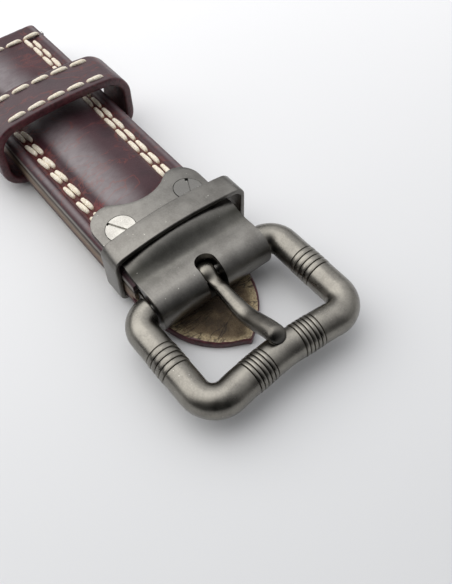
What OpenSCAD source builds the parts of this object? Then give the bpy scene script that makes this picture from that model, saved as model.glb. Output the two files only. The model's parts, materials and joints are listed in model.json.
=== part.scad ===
// Buckle half of a padded leather watch strap.
// It runs from the sprung bar at the watch lugs to a heavy round-wire buckle.
// X runs along the strap towards the buckle, Y across it, Z up.
// All heights and lengths below are measured from the axis of the buckle bar.

/* [Strap] */
// Width of the strap, which is the lug width
strap_w = 22; // [20:0.5:24]
// Distance from the lug bar to the buckle bar
strap_len = 75; // [70:1:90]
// Thickness of the lining leather
lining_t = 1.8; // [1.6:0.1:2]
// Thickness of the middle leather
core_t = 2.4; // [2.2:0.1:2.8]
// Thickness of the upper leather at the edges
upper_t = 1.5; // [1.4:0.1:1.8]
// Rise of the upper face from its edges to its middle
crown = 1.2; // [0.8:0.1:1.6]
// Width of the padded bulge between the inner stitch rows
pad_w = 12.6; // [11:0.2:13]
// Rise of the padded bulge above the crown
pad_rise = 0.9; // [0.6:0.1:1.1]
// Thickness of the leather skin over the padding
skin_t = 1.3; // [1.1:0.1:1.4]
// Height of the buckle bar above the underside of the strap
pin_h = 2.7; // [2.5:0.1:2.9]
// Length of the folded leather loop that holds the lug bar
loop_len = 10; // [8:0.5:14]

/* [Stitching] */
// Distance from the strap's edge to the outer stitch row
row_inset = 2.65; // [2.4:0.05:2.9]
// Distance between the two stitch rows of a side
row_gap = 1.3; // [1.2:0.05:1.4]
// Length of one stitch
stitch_len = 3.2; // [2.6:0.1:3.4]
// Distance from one stitch to the next
stitch_pitch = 4.1; // [3.8:0.1:4.6]
// Diameter of the thread
thread_d = 0.9; // [0.7:0.05:1]

/* [End plate] */
// Thickness of the end plate's leaf
plate_t = 1; // [0.8:0.1:1.2]
// Diameter of the barrel round the buckle bar
barrel_d = 7.4; // [7.2:0.1:7.8]
// Distance from the buckle bar back to the tips of the ears
ear_reach = 19.5; // [18.5:0.5:22]
// Radius of the rounded ears
ear_r = 3.5; // [3:0.1:4]
// Depth of the hollow between the ears
ear_dip = 2.6; // [2:0.1:3]
// Width of the slot for the prong
slot_w = 3.7; // [3.6:0.1:4.2]
// Diameter of the bar hole through the barrel
barrel_bore_d = 2.5; // [2.5:0.05:2.6]
// Thickness of the threaded backing plate
backing_t = 0.9; // [0.8:0.1:1.1]

/* [Screws] */
// Diameter of the screw heads
head_d = 5.2; // [4.6:0.1:5.4]
// Thickness of the screw heads
head_t = 0.6; // [0.5:0.05:0.7]
// Diameter of the screw shanks
shank_d = 1.9; // [1.6:0.1:2]
// Distance from the buckle bar back to the screws
screw_back = 13.7; // [13.4:0.1:14]

/* [Metal keeper] */
// Length of the metal keeper along the strap
band_len = 4.4; // [4:0.1:5]
// Wall of the metal keeper
band_t = 0.9; // [0.8:0.1:1]
// Gap between the metal keeper and the sides of the strap
band_side_gap = 0.55; // [0.4:0.05:0.7]
// Gap between the metal keeper and the end plate below it
band_top_gap = 1; // [0.9:0.1:1.2]
// Gap between the metal keeper and the underside of the strap
band_low_gap = 0.6; // [0.5:0.1:0.8]
// Distance from the buckle bar back to the keeper's front edge
band_back = 7.1; // [7:0.1:7.4]

/* [Buckle frame] */
// Diameter of the round wire
wire_d = 5.4; // [5.2:0.1:5.6]
// Gap beside the strap inside the frame
frame_side_gap = 0.8; // [0.7:0.1:1.2]
// Distance from the buckle bar to the outermost axis of the front bar
frame_reach = 19.6; // [19:0.2:23]
// Radius of the frame's corners at the wire's axis
corner_r = 3.6; // [3.4:0.1:4]
// Angle by which the front bar leaves square to bow inwards
bow_angle = 15; // [10:1:16]
// Gap between the frame's ends and the barrel
end_gap = 0.25; // [0.2:0.05:0.3]
// Number of turned grooves on each leg
leg_grooves = 5; // [3:1:5]
// Number of turned grooves in each group on the front bar
bar_grooves = 6; // [3:1:6]
// Radius of a groove
groove_r = 0.22; // [0.15:0.01:0.25]

/* [Prong] */
// Diameter of the prong at its root
prong_d = 2.4; // [2:0.1:2.4]
// Diameter of the prong at its tip
tip_d = 3.2; // [2.8:0.1:3.4]
// Outer diameter of the eye round the bar
eye_d = 4.8; // [4.6:0.1:5]
// Distance from the bar to the prong's bend
bend_x = 9.8; // [9.5:0.1:10.2]
// Angle of the rise behind the bend
rise_angle = 27; // [26:0.5:29]

/* [Guard flap] */
// Distance that the flap reaches past the buckle bar
flap_reach = 12.9; // [12:0.1:13.5]
// Thickness of the flap
flap_t = 1.5; // [1.3:0.1:1.7]
// Radius of the flap's tip
flap_tip_r = 2.2; // [1.8:0.1:2.6]

/* [Leather keeper] */
// Length of the leather keeper along the strap
keeper_len = 9; // [8:0.5:12]
// Thickness of the leather keeper
keeper_t = 1.7; // [1.4:0.1:1.9]
// Gap between the leather keeper and the sides of the strap
keeper_side_gap = 1.7; // [1:0.1:2]
// Room for the other strap half above the padding
keeper_room = 2.3; // [2:0.1:4]
// Distance from the buckle bar back to the keeper's front edge
keeper_back = 42; // [40:0.5:46]

/* [Sprung bars] */
// Diameter of the buckle bar
bar_d = 2.4; // [2.3:0.05:2.45]
// Diameter of the buckle bar's pivots
bar_pivot_d = 1.2; // [1:0.1:1.4]
// Diameter of the lug bar
lug_bar_d = 1.8; // [1.5:0.1:1.8]
// Diameter of the lug bar's stem between the tube and the flange
lug_stem_d = 0.7; // [0.6:0.05:0.7]
// Diameter of the lug bar's pivots
lug_pivot_d = 1.1; // [0.8:0.05:1.1]
// Length of a pivot beyond what holds the bar
pivot_out = 1.3; // [1:0.1:1.5]
// Diameter of the spring wire
spring_wire = 0.2; // [0.15:0.01:0.22]
// Distance between turns of the springs
spring_pitch = 0.72; // [0.66:0.01:0.8]

/* [Hidden] */
$fn = 48;
running_gap = 0.05;
seat_gap = 0.05;
rest_gap = 0.3;
far = 200;

half_w = strap_w / 2;
z_under = -pin_h;
z_core = z_under + lining_t;
z_upper = z_core + core_t;
z_edge = z_upper + upper_t;
z_crown = z_edge + crown;
crown_r = (half_w * half_w + crown * crown) / (2 * crown);
x_lug = -strap_len;
z_lug = (z_core + z_upper) / 2;
z_tail = z_edge - 0.1;
end_r = (z_tail - z_under) / 2;
z_end = z_under + end_r;
loop_r = core_t / 2 + 0.6;

// Height of the crowned upper face at a distance from the middle
function crown_z(y) = z_crown - crown_r + sqrt(crown_r * crown_r - y * y);

pad_half = pad_w / 2;
z_pad = z_crown + pad_rise;
pad_sag = z_pad - crown_z(pad_half);
pad_r = (pad_half * pad_half + pad_sag * pad_sag) / (2 * pad_sag);
pad_edge = 0.5;

barrel_r = barrel_d / 2;
plate_half = half_w - 0.05;
leaf_start = band_back;
leaf_end = barrel_r + rest_gap;
strap_front = barrel_r + rest_gap;
ear_x = -ear_reach + ear_r;
ear_y = plate_half - ear_r;
valley_x = -ear_reach + ear_dip;
valley_rise = ear_x - valley_x;
valley_r = (valley_rise * valley_rise + ear_y * ear_y - ear_r * ear_r) / (2 * (ear_r - valley_rise));
valley_centre = valley_x - valley_r;
valley_overlap = 0.03;
ear_reach_to_valley = ear_r + valley_r;
ear_join_x = ear_x + ear_r * (valley_centre - ear_x) / ear_reach_to_valley;
ear_join_y = ear_y - ear_r * ear_y / ear_reach_to_valley;
step_r = z_crown + plate_t - barrel_r;
step_x = -leaf_start + step_r;
pad_front = valley_x - 0.4;
pad_back = x_lug + loop_len + 3;

slot_half = slot_w / 2;
slot_back = prong_d / 2 + 0.2;
pocket_r = eye_d / 2 + 0.2;
slot_floor = prong_d / 2 + 1.4;
eye_w = slot_w - 0.9;

screw_y = ear_y - 0.6;
screw_tilt = asin(screw_y / crown_r);
head_gap = 0.1;
driver_w = 0.6;
driver_deep = 0.35;
driver_turn = 27;
boss_d = 4;
boss_h = 0.9;
shank_len = plate_t + upper_t + crown + backing_t;
z_backing = z_upper - backing_t;
backing_half = half_w - 0.4;
backing_back = ear_reach - 1;
backing_front = barrel_r + 0.1;

band_top = z_edge + plate_t + band_top_gap;
band_low = z_under - band_low_gap;
band_half = half_w + band_side_gap;
band_corner = 0.5;

frame_half = half_w + frame_side_gap + wire_d / 2;
wire_r = wire_d / 2;
frame_start = half_w + end_gap;
rear_r = frame_half - frame_start;
corner_x = frame_reach - corner_r;
corner_y = frame_half - corner_r;
bow_y = corner_y - corner_r * sin(bow_angle);
bow_x = corner_x + corner_r * cos(bow_angle);
leg_groove_first = 7.3;
leg_groove_step = 1.05;
bar_groove_step = 0.74;
bar_straight = (bar_grooves + 1) * bar_groove_step;
mid_angle = 6;
hair = 0.02;
overlap = 0.1;
bow_overlap = 0.3;
bow_r = (bow_y - bar_straight * cos(mid_angle)) / sin(bow_angle);
bar_mid = bow_x - bow_r * (cos(mid_angle) - cos(bow_angle)) - bar_straight * sin(mid_angle)
    - bow_r * (1 - cos(mid_angle));

bend_r = 6;
bend_end_x = bend_x + bend_r * sin(rise_angle);
bend_end_z = bend_r * (1 - cos(rise_angle));
tip_run = 6.2;
bend_d = prong_d + 0.2;

flap_start = strap_front + 1;
flap_r = ((flap_reach + flap_start) * (flap_reach + flap_start) + half_w * half_w) / (2 * half_w);
flap_side = flap_r - half_w;
flap_tip_x = sqrt((flap_r - flap_tip_r) * (flap_r - flap_tip_r) - flap_side * flap_side) - flap_start;
flap_join_x = flap_tip_x + flap_tip_r * (flap_tip_x + flap_start) / (flap_r - flap_tip_r);
z_flap = -barrel_r - 0.1;
flap_drop_from = -6.5;
flap_drop_to = -0.8;
flap_steps = 12;

keeper_half = half_w + keeper_side_gap;
keeper_low = z_under - rest_gap;
keeper_top = z_pad + keeper_room;
keeper_corner = 3;
keeper_crown_r = 40;
keeper_row_inset = 1.6;
keeper_row_half = 10;

row_outer = half_w - row_inset;
row_inner = row_outer - row_gap;
row_from = x_lug + 5;
row_to = -ear_reach - 0.8 * stitch_len;
row_count = floor((row_to - row_from) / stitch_pitch) + 1;
channel_deep = 0.45;
channel_w = thread_d + 0.1;
end_row_in = 3.6;
end_row_count = 5;
end_row_z = z_tail + (z_crown - z_tail) * end_row_in / loop_len + thread_d / 2 + 0.02;

bar_half = half_w + 0.05;
bar_bore_d = bar_d - 0.7;
bar_mouth_d = bar_pivot_d + 2 * running_gap;
bar_spring_from = 4;
lug_bar_half = half_w - 0.1;
lug_bore_d = lug_bar_d - 0.4;
lug_mouth_d = lug_stem_d + 2 * running_gap;
lug_spring_from = 1.2;
mouth_t = 0.4;
piston_len = 1.2;
tip_travel = pivot_out + 0.1;
flange_t = 0.3;
flange_d = lug_bar_d - 0.2;
lug_bar_front = lug_bar_half - flange_t - tip_travel - 0.1;
spring_room = tip_travel + 0.1;
loop_bore_d = lug_bar_d + 2 * running_gap;
pivot_hole_deep = pivot_out + 0.25;

x_back = x_lug - end_r;
x_front = frame_reach + wire_r;
x_mid = (x_back + x_front) / 2;
z_floor = z_flap - flap_t;

leather_red = [0.29, 0.16, 0.17];
leather_edge = [0.36, 0.2, 0.16];
leather_tan = [0.44, 0.34, 0.24];
thread_cream = [0.85, 0.8, 0.68];
metal_grey = [0.42, 0.41, 0.39];
metal_bright = [0.72, 0.71, 0.68];
foam_grey = [0.6, 0.58, 0.55];

// Moves the finished object so that it stands on the floor, centred
module placed() {
    translate([-x_mid, 0, -z_floor]) children();
}

// Runs a section drawn in Y and Z along X
module along_x(from, to) {
    translate([from, 0, 0]) rotate([90, 0, 90]) linear_extrude(to - from) children();
}

// Runs a section drawn in X and Z across the whole width
module slab(width = far) {
    translate([0, width / 2, 0]) rotate([90, 0, 0]) linear_extrude(width) children();
}

// Rod across the strap between two places on Y
module across(d, from, to, x = 0, z = 0) {
    translate([x, from, z]) rotate([-90, 0, 0]) cylinder(h = to - from, d = d);
}

// Flat rectangle with round corners
module round_box(w, h, r) {
    union() {
        square([w - 2 * r, h], center = true);
        square([w, h - 2 * r], center = true);
        for (sx = [-1, 1], sy = [-1, 1])
            translate([sx * (w / 2 - r), sy * (h / 2 - r)]) circle(r);
    }
}

// Section between a lower height and the crowned face
module crowned_section(half, low, lift = 0) {
    intersection() {
        translate([-half, low]) square([2 * half, far]);
        translate([0, z_crown - crown_r + lift]) circle(crown_r, $fn = 360);
    }
}

// Padded bulge of the upper leather, or the room under its skin
module bulge(low, inset, skin) {
    r = pad_r - skin;
    half = pad_half - inset;
    front = pad_front - pad_half;
    back = pad_back + pad_half;
    along_x(back, front) intersection() {
        translate([-half, low]) square([2 * half, far]);
        translate([0, z_pad - pad_r]) circle(r, $fn = 180);
    }
    for (x = [back, front]) translate([x, 0, 0]) rotate_extrude() intersection() {
        translate([0, low]) square([half, far]);
        translate([0, z_pad - pad_r]) circle(r, $fn = 180);
    }
}

// Places a child at each stitch of a row
module stitch_places(y) {
    for (i = [0:row_count - 1])
        translate([row_to - i * stitch_pitch, y, crown_z(y) - channel_deep + thread_d / 2]) children();
}

module row_channel(y) {
    translate([row_from - stitch_len, y - channel_w / 2, crown_z(abs(y)) - channel_deep])
        cube([row_to - row_from + 2 * stitch_len, channel_w, 2]);
}

module stitch() {
    translate([-stitch_len / 2, 0, 0]) rotate([0, 90, 0]) cylinder(h = stitch_len, d = thread_d, $fn = 16);
}

module stitch_rows(side) {
    for (y = [row_outer, row_inner]) stitch_places(side * y) stitch();
}

// Places a child on each screw's axis, with Z out of the plate's upper face
module screw_axes() {
    for (side = [-1, 1])
        translate([-screw_back, 0, z_crown - crown_r])
            rotate([-side * screw_tilt, 0, 0]) translate([0, 0, crown_r + plate_t])
                rotate([0, 0, -side * driver_turn]) children();
}

module upper_leather() {
    color(leather_red) difference() {
        union() {
            intersection() {
                along_x(x_lug, -leaf_start - overlap - seat_gap) crowned_section(half_w, z_upper);
                slab() polygon([[x_lug, z_upper], [x_lug, z_tail], [x_lug + loop_len, z_crown],
                                [0, z_crown + 1], [0, z_upper]]);
            }
            translate([x_lug - 0.5, -half_w, z_upper]) cube([1, strap_w, z_tail - z_upper - 0.1]);
            translate([-leaf_start - 1, -half_w, z_upper])
                cube([leaf_start + 1 - leaf_end, strap_w, barrel_r - plate_t - z_upper - seat_gap]);
            intersection() {
                across(2 * end_r, -half_w, half_w, x_lug, z_end);
                translate([x_lug - far, -far / 2, -far / 2]) cube([far, far, far]);
            }
            bulge(z_upper, -pad_edge, 0);
        }
        bulge(z_upper - 1, pad_edge, skin_t);
        across(2 * loop_r, -far / 2, far / 2, x_lug, z_lug);
        for (side = [-1, 1], y = [row_outer, row_inner]) row_channel(side * y);
        screw_axes() translate([0, 0, -shank_len - 1]) cylinder(h = shank_len + 1, d = shank_d + 0.2);
    }
}

module padding() {
    color(foam_grey) bulge(z_upper, pad_edge + seat_gap, skin_t + seat_gap);
}

module core_leather() {
    color(leather_edge) difference() {
        translate([x_lug + loop_len + seat_gap, -half_w, z_core])
            cube([strap_len - loop_len - seat_gap - strap_front, strap_w, core_t]);
        translate([-backing_back - seat_gap, -backing_half - seat_gap, z_backing - seat_gap])
            cube([far, 2 * backing_half + 2 * seat_gap, far]);
        screw_axes() translate([0, 0, -far / 2]) cylinder(h = far / 2, d = boss_d + 2 * seat_gap);
    }
}

// Two plies of leather folded round the lug bar and glued between the layers
module lug_loop() {
    color(leather_edge) difference() {
        union() {
            across(2 * loop_r - 2 * seat_gap, -half_w, half_w, x_lug, z_lug);
            translate([x_lug, -half_w, z_core]) cube([loop_len, strap_w, core_t]);
        }
        across(loop_bore_d, -far / 2, far / 2, x_lug, z_lug);
    }
}

// Share of the drop to the flap, from 0 to 1, along the lining
function drop_at(x) = x <= flap_drop_from ? 0 : x >= flap_drop_to ? 1
    : (1 - cos(180 * (x - flap_drop_from) / (flap_drop_to - flap_drop_from))) / 2;

module lining_profile() {
    xs = [for (i = [0:flap_steps]) flap_drop_from + (flap_drop_to - flap_drop_from) * i / flap_steps];
    upper = [for (x = xs) [x, z_core + (z_flap - z_core) * drop_at(x)]];
    lower = [for (i = [flap_steps:-1:0]) [xs[i], z_under + (z_floor - z_under) * drop_at(xs[i])]];
    polygon(concat([[x_lug, z_core]], upper, [[flap_reach, z_flap], [flap_reach, z_floor]], lower,
                   [[x_lug, z_under]]));
}

// Plan of the lining: straight sides, then two arcs to a round tip
module lining_plan() {
    translate([x_lug, -half_w]) square([strap_len - flap_start, strap_w]);
    intersection() {
        translate([-flap_start, -flap_side]) circle(flap_r, $fn = 180);
        translate([-flap_start, flap_side]) circle(flap_r, $fn = 180);
        translate([-flap_start - 0.01, -half_w]) square([flap_join_x + flap_start + 0.01, strap_w]);
    }
    translate([flap_tip_x, 0]) circle(flap_tip_r);
}

module lining_leather() {
    color(leather_tan) difference() {
        intersection() {
            slab(strap_w) lining_profile();
            translate([0, 0, -far / 2]) linear_extrude(far) lining_plan();
        }
        across(2 * loop_r, -far / 2, far / 2, x_lug, z_lug);
    }
}

module stitching_left() {
    color(thread_cream) stitch_rows(-1);
}

module stitching_right() {
    color(thread_cream) stitch_rows(1);
}

// Short row across the strap that closes the lug end
module end_stitching() {
    color(thread_cream) for (i = [0:end_row_count - 1])
        translate([x_lug + end_row_in, (i - (end_row_count - 1) / 2) * stitch_pitch, end_row_z])
            rotate([0, 0, 90]) stitch();
}

// Outline of the end plate's leaf: two round ears with a hollow between them
module ear_plan() {
    difference() {
        union() {
            translate([ear_x, -plate_half]) square([-leaf_start - ear_x, 2 * plate_half]);
            translate([ear_join_x, -ear_join_y]) square([-leaf_start - ear_join_x, 2 * ear_join_y]);
            for (side = [-1, 1]) translate([ear_x, side * ear_y]) circle(ear_r);
        }
        translate([valley_centre, 0]) circle(valley_r + valley_overlap, $fn = 180);
    }
}

module domed_leaf() {
    intersection() {
        along_x(-ear_reach - 1, -leaf_start) difference() {
            crowned_section(plate_half, z_upper, plate_t);
            crowned_section(plate_half + 1, z_upper - 1, seat_gap);
        }
        translate([0, 0, -far / 2]) linear_extrude(far) ear_plan();
    }
}

// Solid step in which the domed leaf falls in a hollow curve to the barrel
module leaf_step() {
    intersection() {
        along_x(-leaf_start - overlap, -leaf_end) crowned_section(plate_half, barrel_r - plate_t, plate_t);
        slab() difference() {
            translate([-leaf_start - 1, 0]) square([leaf_start + 1 - leaf_end, far]);
            translate([step_x, barrel_r + step_r]) circle(step_r, $fn = 180);
            translate([step_x, barrel_r]) square([far, far]);
        }
    }
}

module prong_slot() {
    translate([slot_half - slot_back, 0, 0]) cylinder(h = far, r = slot_half);
    translate([slot_half - slot_back, -slot_half, -slot_floor]) cube([far, slot_w, far]);
    across(2 * pocket_r, -slot_half, slot_half);
}

module end_plate() {
    color(metal_grey) difference() {
        union() {
            domed_leaf();
            leaf_step();
            translate([-leaf_end, -plate_half, barrel_r - plate_t]) cube([leaf_end, 2 * plate_half, plate_t]);
            across(barrel_d, -half_w, half_w);
        }
        across(barrel_bore_d, -far / 2, far / 2);
        prong_slot();
        screw_axes() translate([0, 0, -head_t - seat_gap]) cylinder(h = 2, d = head_d + 2 * head_gap);
        screw_axes() translate([0, 0, -plate_t - 1]) cylinder(h = plate_t + 2, d = shank_d + 0.2);
    }
}

module backing_plate() {
    color(metal_grey) difference() {
        union() {
            translate([-backing_back, -backing_half, z_backing])
                cube([backing_back - backing_front, 2 * backing_half, backing_t - seat_gap]);
            intersection() {
                screw_axes() translate([0, 0, -far / 2]) cylinder(h = far / 2, d = boss_d);
                translate([-far / 2, -far / 2, z_backing - boss_h]) cube([far, far, boss_h + 0.1]);
            }
        }
        screw_axes() translate([0, 0, -far / 2]) cylinder(h = far / 2, d = shank_d + 2 * running_gap);
    }
}

module plate_screws() {
    color(metal_bright) screw_axes() difference() {
        union() {
            translate([0, 0, -head_t]) cylinder(h = head_t, d = head_d);
            translate([0, 0, -shank_len]) cylinder(h = shank_len, d = shank_d);
        }
        translate([-head_d, -driver_w / 2, -driver_deep]) cube([2 * head_d, driver_w, 1]);
    }
}

module metal_keeper() {
    inner_h = band_top + crown - band_low;
    outer_h = inner_h + 2 * band_t;
    middle = (band_top + crown + band_low) / 2;
    color(metal_grey) along_x(-band_back - band_len, -band_back) difference() {
        intersection() {
            translate([0, middle]) round_box(2 * band_half + 2 * band_t, outer_h, band_corner + band_t);
            crowned_section(band_half + band_t, band_low - band_t, band_top + band_t - z_edge);
        }
        intersection() {
            translate([0, middle]) round_box(2 * band_half, inner_h, band_corner);
            crowned_section(band_half, band_low, band_top - z_edge);
        }
    }
}

// Section of the leather keeper, grown outwards from its inner face
module keeper_section(grow) {
    h = keeper_top - keeper_low + 2 * grow;
    intersection() {
        translate([0, (keeper_top + keeper_low) / 2])
            round_box(2 * keeper_half + 2 * grow, h, keeper_corner + grow);
        translate([0, keeper_top - keeper_crown_r]) circle(keeper_crown_r + grow, $fn = 180);
    }
}

keeper_rows = [-keeper_back - keeper_row_inset, -keeper_back - keeper_len + keeper_row_inset];

module leather_keeper() {
    color(leather_red) difference() {
        along_x(-keeper_back - keeper_len, -keeper_back) difference() {
            keeper_section(keeper_t);
            keeper_section(0);
        }
        for (x = keeper_rows) along_x(x - channel_w / 2, x + channel_w / 2) difference() {
            translate([-keeper_row_half - stitch_len, z_upper]) square([2 * keeper_row_half + 2 * stitch_len, far]);
            keeper_section(keeper_t - channel_deep);
        }
    }
}

module keeper_stitching() {
    r = keeper_crown_r + keeper_t - channel_deep + thread_d / 2;
    n = floor(keeper_row_half / stitch_pitch);
    step = stitch_pitch / r * 180 / PI;
    color(thread_cream) for (x = keeper_rows, i = [-n:n])
        translate([x, 0, keeper_top - keeper_crown_r]) rotate([-i * step, 0, 0])
            translate([0, 0, r]) rotate([0, 0, 90]) stitch();
}

// Part of a ring of wire in the frame's plane
module wire_arc(r, from, turn, slack = 0) {
    rotate([0, 0, from]) rotate_extrude(angle = turn) translate([r, 0]) circle(wire_r - slack);
}

// Straight wire from the origin along Y, with a row of turned grooves
module grooved_wire(length, first, count, step, slack) {
    rotate([-90, 0, 0]) translate([0, 0, -overlap]) rotate_extrude() difference() {
        square([wire_r - slack, length + 2 * overlap]);
        for (i = [0:count - 1]) translate([wire_r, overlap + first + i * step]) circle(groove_r, $fn = 16);
    }
}

// Half of the frame; each straight stretch is a hair thinner and ends inside its bends
module frame_half_body() {
    translate([rear_r, frame_start, 0]) wire_arc(rear_r, 90, 90);
    translate([rear_r, frame_half, 0]) rotate([0, 0, -90])
        grooved_wire(corner_x - rear_r, leg_groove_first - rear_r, leg_grooves, leg_groove_step, hair);
    translate([corner_x, corner_y, 0]) wire_arc(corner_r, -bow_angle, 90 + bow_angle);
    translate([bow_x + bow_r * cos(bow_angle), bow_y - bow_r * sin(bow_angle), 0])
        wire_arc(bow_r, 180 - bow_angle - bow_overlap, bow_angle - mid_angle + bow_overlap, hair);
    translate([bar_mid + bow_r * (1 - cos(mid_angle)), bow_r * sin(mid_angle), 0]) rotate([0, 0, -mid_angle])
        grooved_wire(bar_straight, bar_groove_step, bar_grooves, bar_groove_step, 2 * hair);
}

module buckle_frame() {
    color(metal_grey) difference() {
        union() {
            frame_half_body();
            mirror([0, 1, 0]) frame_half_body();
            translate([bar_mid + bow_r, 0, 0]) wire_arc(bow_r, 180 - mid_angle, 2 * mid_angle, hair);
        }
        for (side = [-1, 1])
            across(bar_mouth_d, side > 0 ? frame_start - 1 : -frame_start - pivot_hole_deep,
                   side > 0 ? frame_start + pivot_hole_deep : -frame_start + 1);
    }
}

// Eye, root, bend and tip; the bend and the tip's end are a hair fuller than the straights
module prong() {
    color(metal_grey) difference() {
        union() {
            across(eye_d, -eye_w / 2, eye_w / 2);
            rotate([0, 90, 0]) cylinder(h = bend_x + overlap, d1 = prong_d, d2 = bend_d);
            translate([bend_x, 0, bend_r]) rotate([90, 0, 0]) rotate([0, 0, -90])
                rotate_extrude(angle = rise_angle) translate([bend_r, 0]) circle(bend_d / 2 + hair);
            translate([bend_end_x, 0, bend_end_z]) rotate([0, 90 - rise_angle, 0]) {
                translate([0, 0, -overlap]) cylinder(h = tip_run + overlap, d1 = bend_d, d2 = tip_d);
                translate([0, 0, tip_run]) sphere(tip_d / 2 + hair);
            }
        }
        across(bar_d + 2 * running_gap, -far / 2, far / 2);
        across(wire_d + 2 * running_gap, -far / 2, far / 2, bar_mid);
    }
}

// Tube with one fixed pivot, a bore for the spring and a narrow mouth
module sprung_tube(d, half, front, bore, mouth, pivot, spring_from, out) {
    difference() {
        across(d, -half, front);
        across(bore, spring_from, front - mouth_t);
        across(mouth, front - mouth_t - 0.1, front + 1);
    }
    across(pivot, -half - out, -half + 0.1);
}

// Piston in the bore, and the rod that leaves through the mouth
module piston_rod(bore, front, rod, to) {
    inner = front - mouth_t - running_gap;
    across(bore - 2 * running_gap, inner - piston_len, inner);
    across(rod, inner - 0.1, to);
}

// Points of one ring of the coil's wire
function coil_ring(r, turn, y) = [for (k = [0:5])
    let (a = 60 * k, q = r + spring_wire / 2 * cos(a))
    [q * cos(turn), y + spring_wire / 2 * sin(a), q * sin(turn)]];

module coil(r, from, to) {
    turns = (to - from - spring_wire) / spring_pitch;
    rings = ceil(turns * 8);
    points = [for (i = [0:rings]) each coil_ring(r, 360 * turns * i / rings,
        from + spring_wire / 2 + (to - from - spring_wire) * i / rings)];
    sides = [for (i = [0:rings - 1], k = [0:5]) each
        [[6 * i + k, 6 * i + (k + 1) % 6, 6 * i + 6 + k],
         [6 * i + (k + 1) % 6, 6 * i + 6 + (k + 1) % 6, 6 * i + 6 + k]]];
    last = 6 * rings;
    ends = [for (k = [1:4]) each [[0, k + 1, k], [last, last + k, last + k + 1]]];
    polyhedron(points, concat(sides, ends));
}

spring_gap = spring_pitch - spring_wire;
echo(least_gap_between_spring_turns = spring_gap);

module buckle_bar() {
    color(metal_bright) sprung_tube(bar_d, bar_half, bar_half, bar_bore_d, bar_mouth_d,
                                    bar_pivot_d, bar_spring_from, end_gap + pivot_out);
}

module buckle_bar_tip() {
    color(metal_bright) piston_rod(bar_bore_d, bar_half, bar_pivot_d, bar_half + end_gap + pivot_out);
}

module buckle_bar_spring() {
    color(metal_bright) coil(bar_bore_d / 2 - spring_wire / 2 - running_gap, bar_spring_from + spring_room,
                             bar_half - mouth_t - running_gap - piston_len);
}

module lug_bar() {
    color(metal_bright) translate([x_lug, 0, z_lug])
        sprung_tube(lug_bar_d, lug_bar_half, lug_bar_front, lug_bore_d, lug_mouth_d,
                    lug_pivot_d, lug_spring_from, half_w - lug_bar_half + pivot_out);
}

// The flange is what a tool pushes in to free the strap
module lug_bar_tip() {
    color(metal_bright) translate([x_lug, 0, z_lug]) {
        piston_rod(lug_bore_d, lug_bar_front, lug_stem_d, lug_bar_half);
        across(flange_d, lug_bar_half - flange_t, lug_bar_half);
        across(lug_pivot_d, lug_bar_half - 0.1, half_w + pivot_out);
    }
}

module lug_bar_spring() {
    color(metal_bright) translate([x_lug, 0, z_lug])
        coil(lug_bore_d / 2 - spring_wire / 2 - running_gap, lug_spring_from + spring_room,
             lug_bar_front - mouth_t - running_gap - piston_len);
}

placed() upper_leather();
placed() padding();
placed() core_leather();
placed() lug_loop();
placed() lining_leather();
placed() stitching_left();
placed() stitching_right();
placed() end_stitching();
placed() end_plate();
placed() backing_plate();
placed() plate_screws();
placed() metal_keeper();
placed() leather_keeper();
placed() keeper_stitching();
placed() buckle_frame();
placed() prong();
placed() buckle_bar();
placed() buckle_bar_tip();
placed() buckle_bar_spring();
placed() lug_bar();
placed() lug_bar_tip();
placed() lug_bar_spring();
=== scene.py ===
"""The looks of the buckle half of a padded leather watch strap.

Pieces are modelled in millimetres from the axis of the buckle bar, and settle()
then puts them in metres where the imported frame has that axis.
"""

import json
import math
import random

import bpy
from mathutils import Matrix, Vector, noise


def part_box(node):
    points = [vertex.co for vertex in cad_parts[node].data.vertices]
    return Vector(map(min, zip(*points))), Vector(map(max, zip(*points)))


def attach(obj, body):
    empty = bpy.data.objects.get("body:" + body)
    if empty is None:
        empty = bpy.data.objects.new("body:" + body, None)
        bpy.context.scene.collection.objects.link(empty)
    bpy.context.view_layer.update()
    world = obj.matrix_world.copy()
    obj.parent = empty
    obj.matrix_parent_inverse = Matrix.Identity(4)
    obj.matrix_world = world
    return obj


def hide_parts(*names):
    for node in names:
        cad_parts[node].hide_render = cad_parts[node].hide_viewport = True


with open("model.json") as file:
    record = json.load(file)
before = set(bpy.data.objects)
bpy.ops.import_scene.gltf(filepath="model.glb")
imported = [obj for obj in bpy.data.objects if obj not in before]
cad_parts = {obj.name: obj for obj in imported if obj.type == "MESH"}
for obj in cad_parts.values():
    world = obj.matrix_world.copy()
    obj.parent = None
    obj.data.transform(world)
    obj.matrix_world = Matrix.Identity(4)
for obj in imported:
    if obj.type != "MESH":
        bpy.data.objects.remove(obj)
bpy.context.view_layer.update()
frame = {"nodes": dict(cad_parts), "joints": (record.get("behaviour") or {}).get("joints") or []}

# Places

MM = 0.001
BAR_AXIS = Vector(next(j["pos_m"] for j in frame["joints"] if j["name"] == "buckle_hinge"))


def place(x, y, z):
    """A point in millimetres from the buckle bar, as metres in the frame."""
    return BAR_AXIS + Vector((x, y, z)) * MM


def reach(name):
    """A CAD node's lowest and highest corners, in millimetres from the buckle bar."""
    low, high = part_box(name)
    return (Vector(low) - BAR_AXIS) / MM, (Vector(high) - BAR_AXIS) / MM


# Sizes of the strap, mm

UPPER_HIGH = reach("upper_leather")[1]
CORE_LOW, CORE_HIGH = reach("core_leather")
LINING_LOW, LINING_HIGH = reach("lining_leather")

HALF_W = UPPER_HIGH.y
LUG_X = LINING_LOW.x
STRAP_FRONT = CORE_HIGH.x
TAIL_LEN = 10.0
PLATE_START = -7.1

# Heights of its layers, from the underside to the top of the crown

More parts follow.
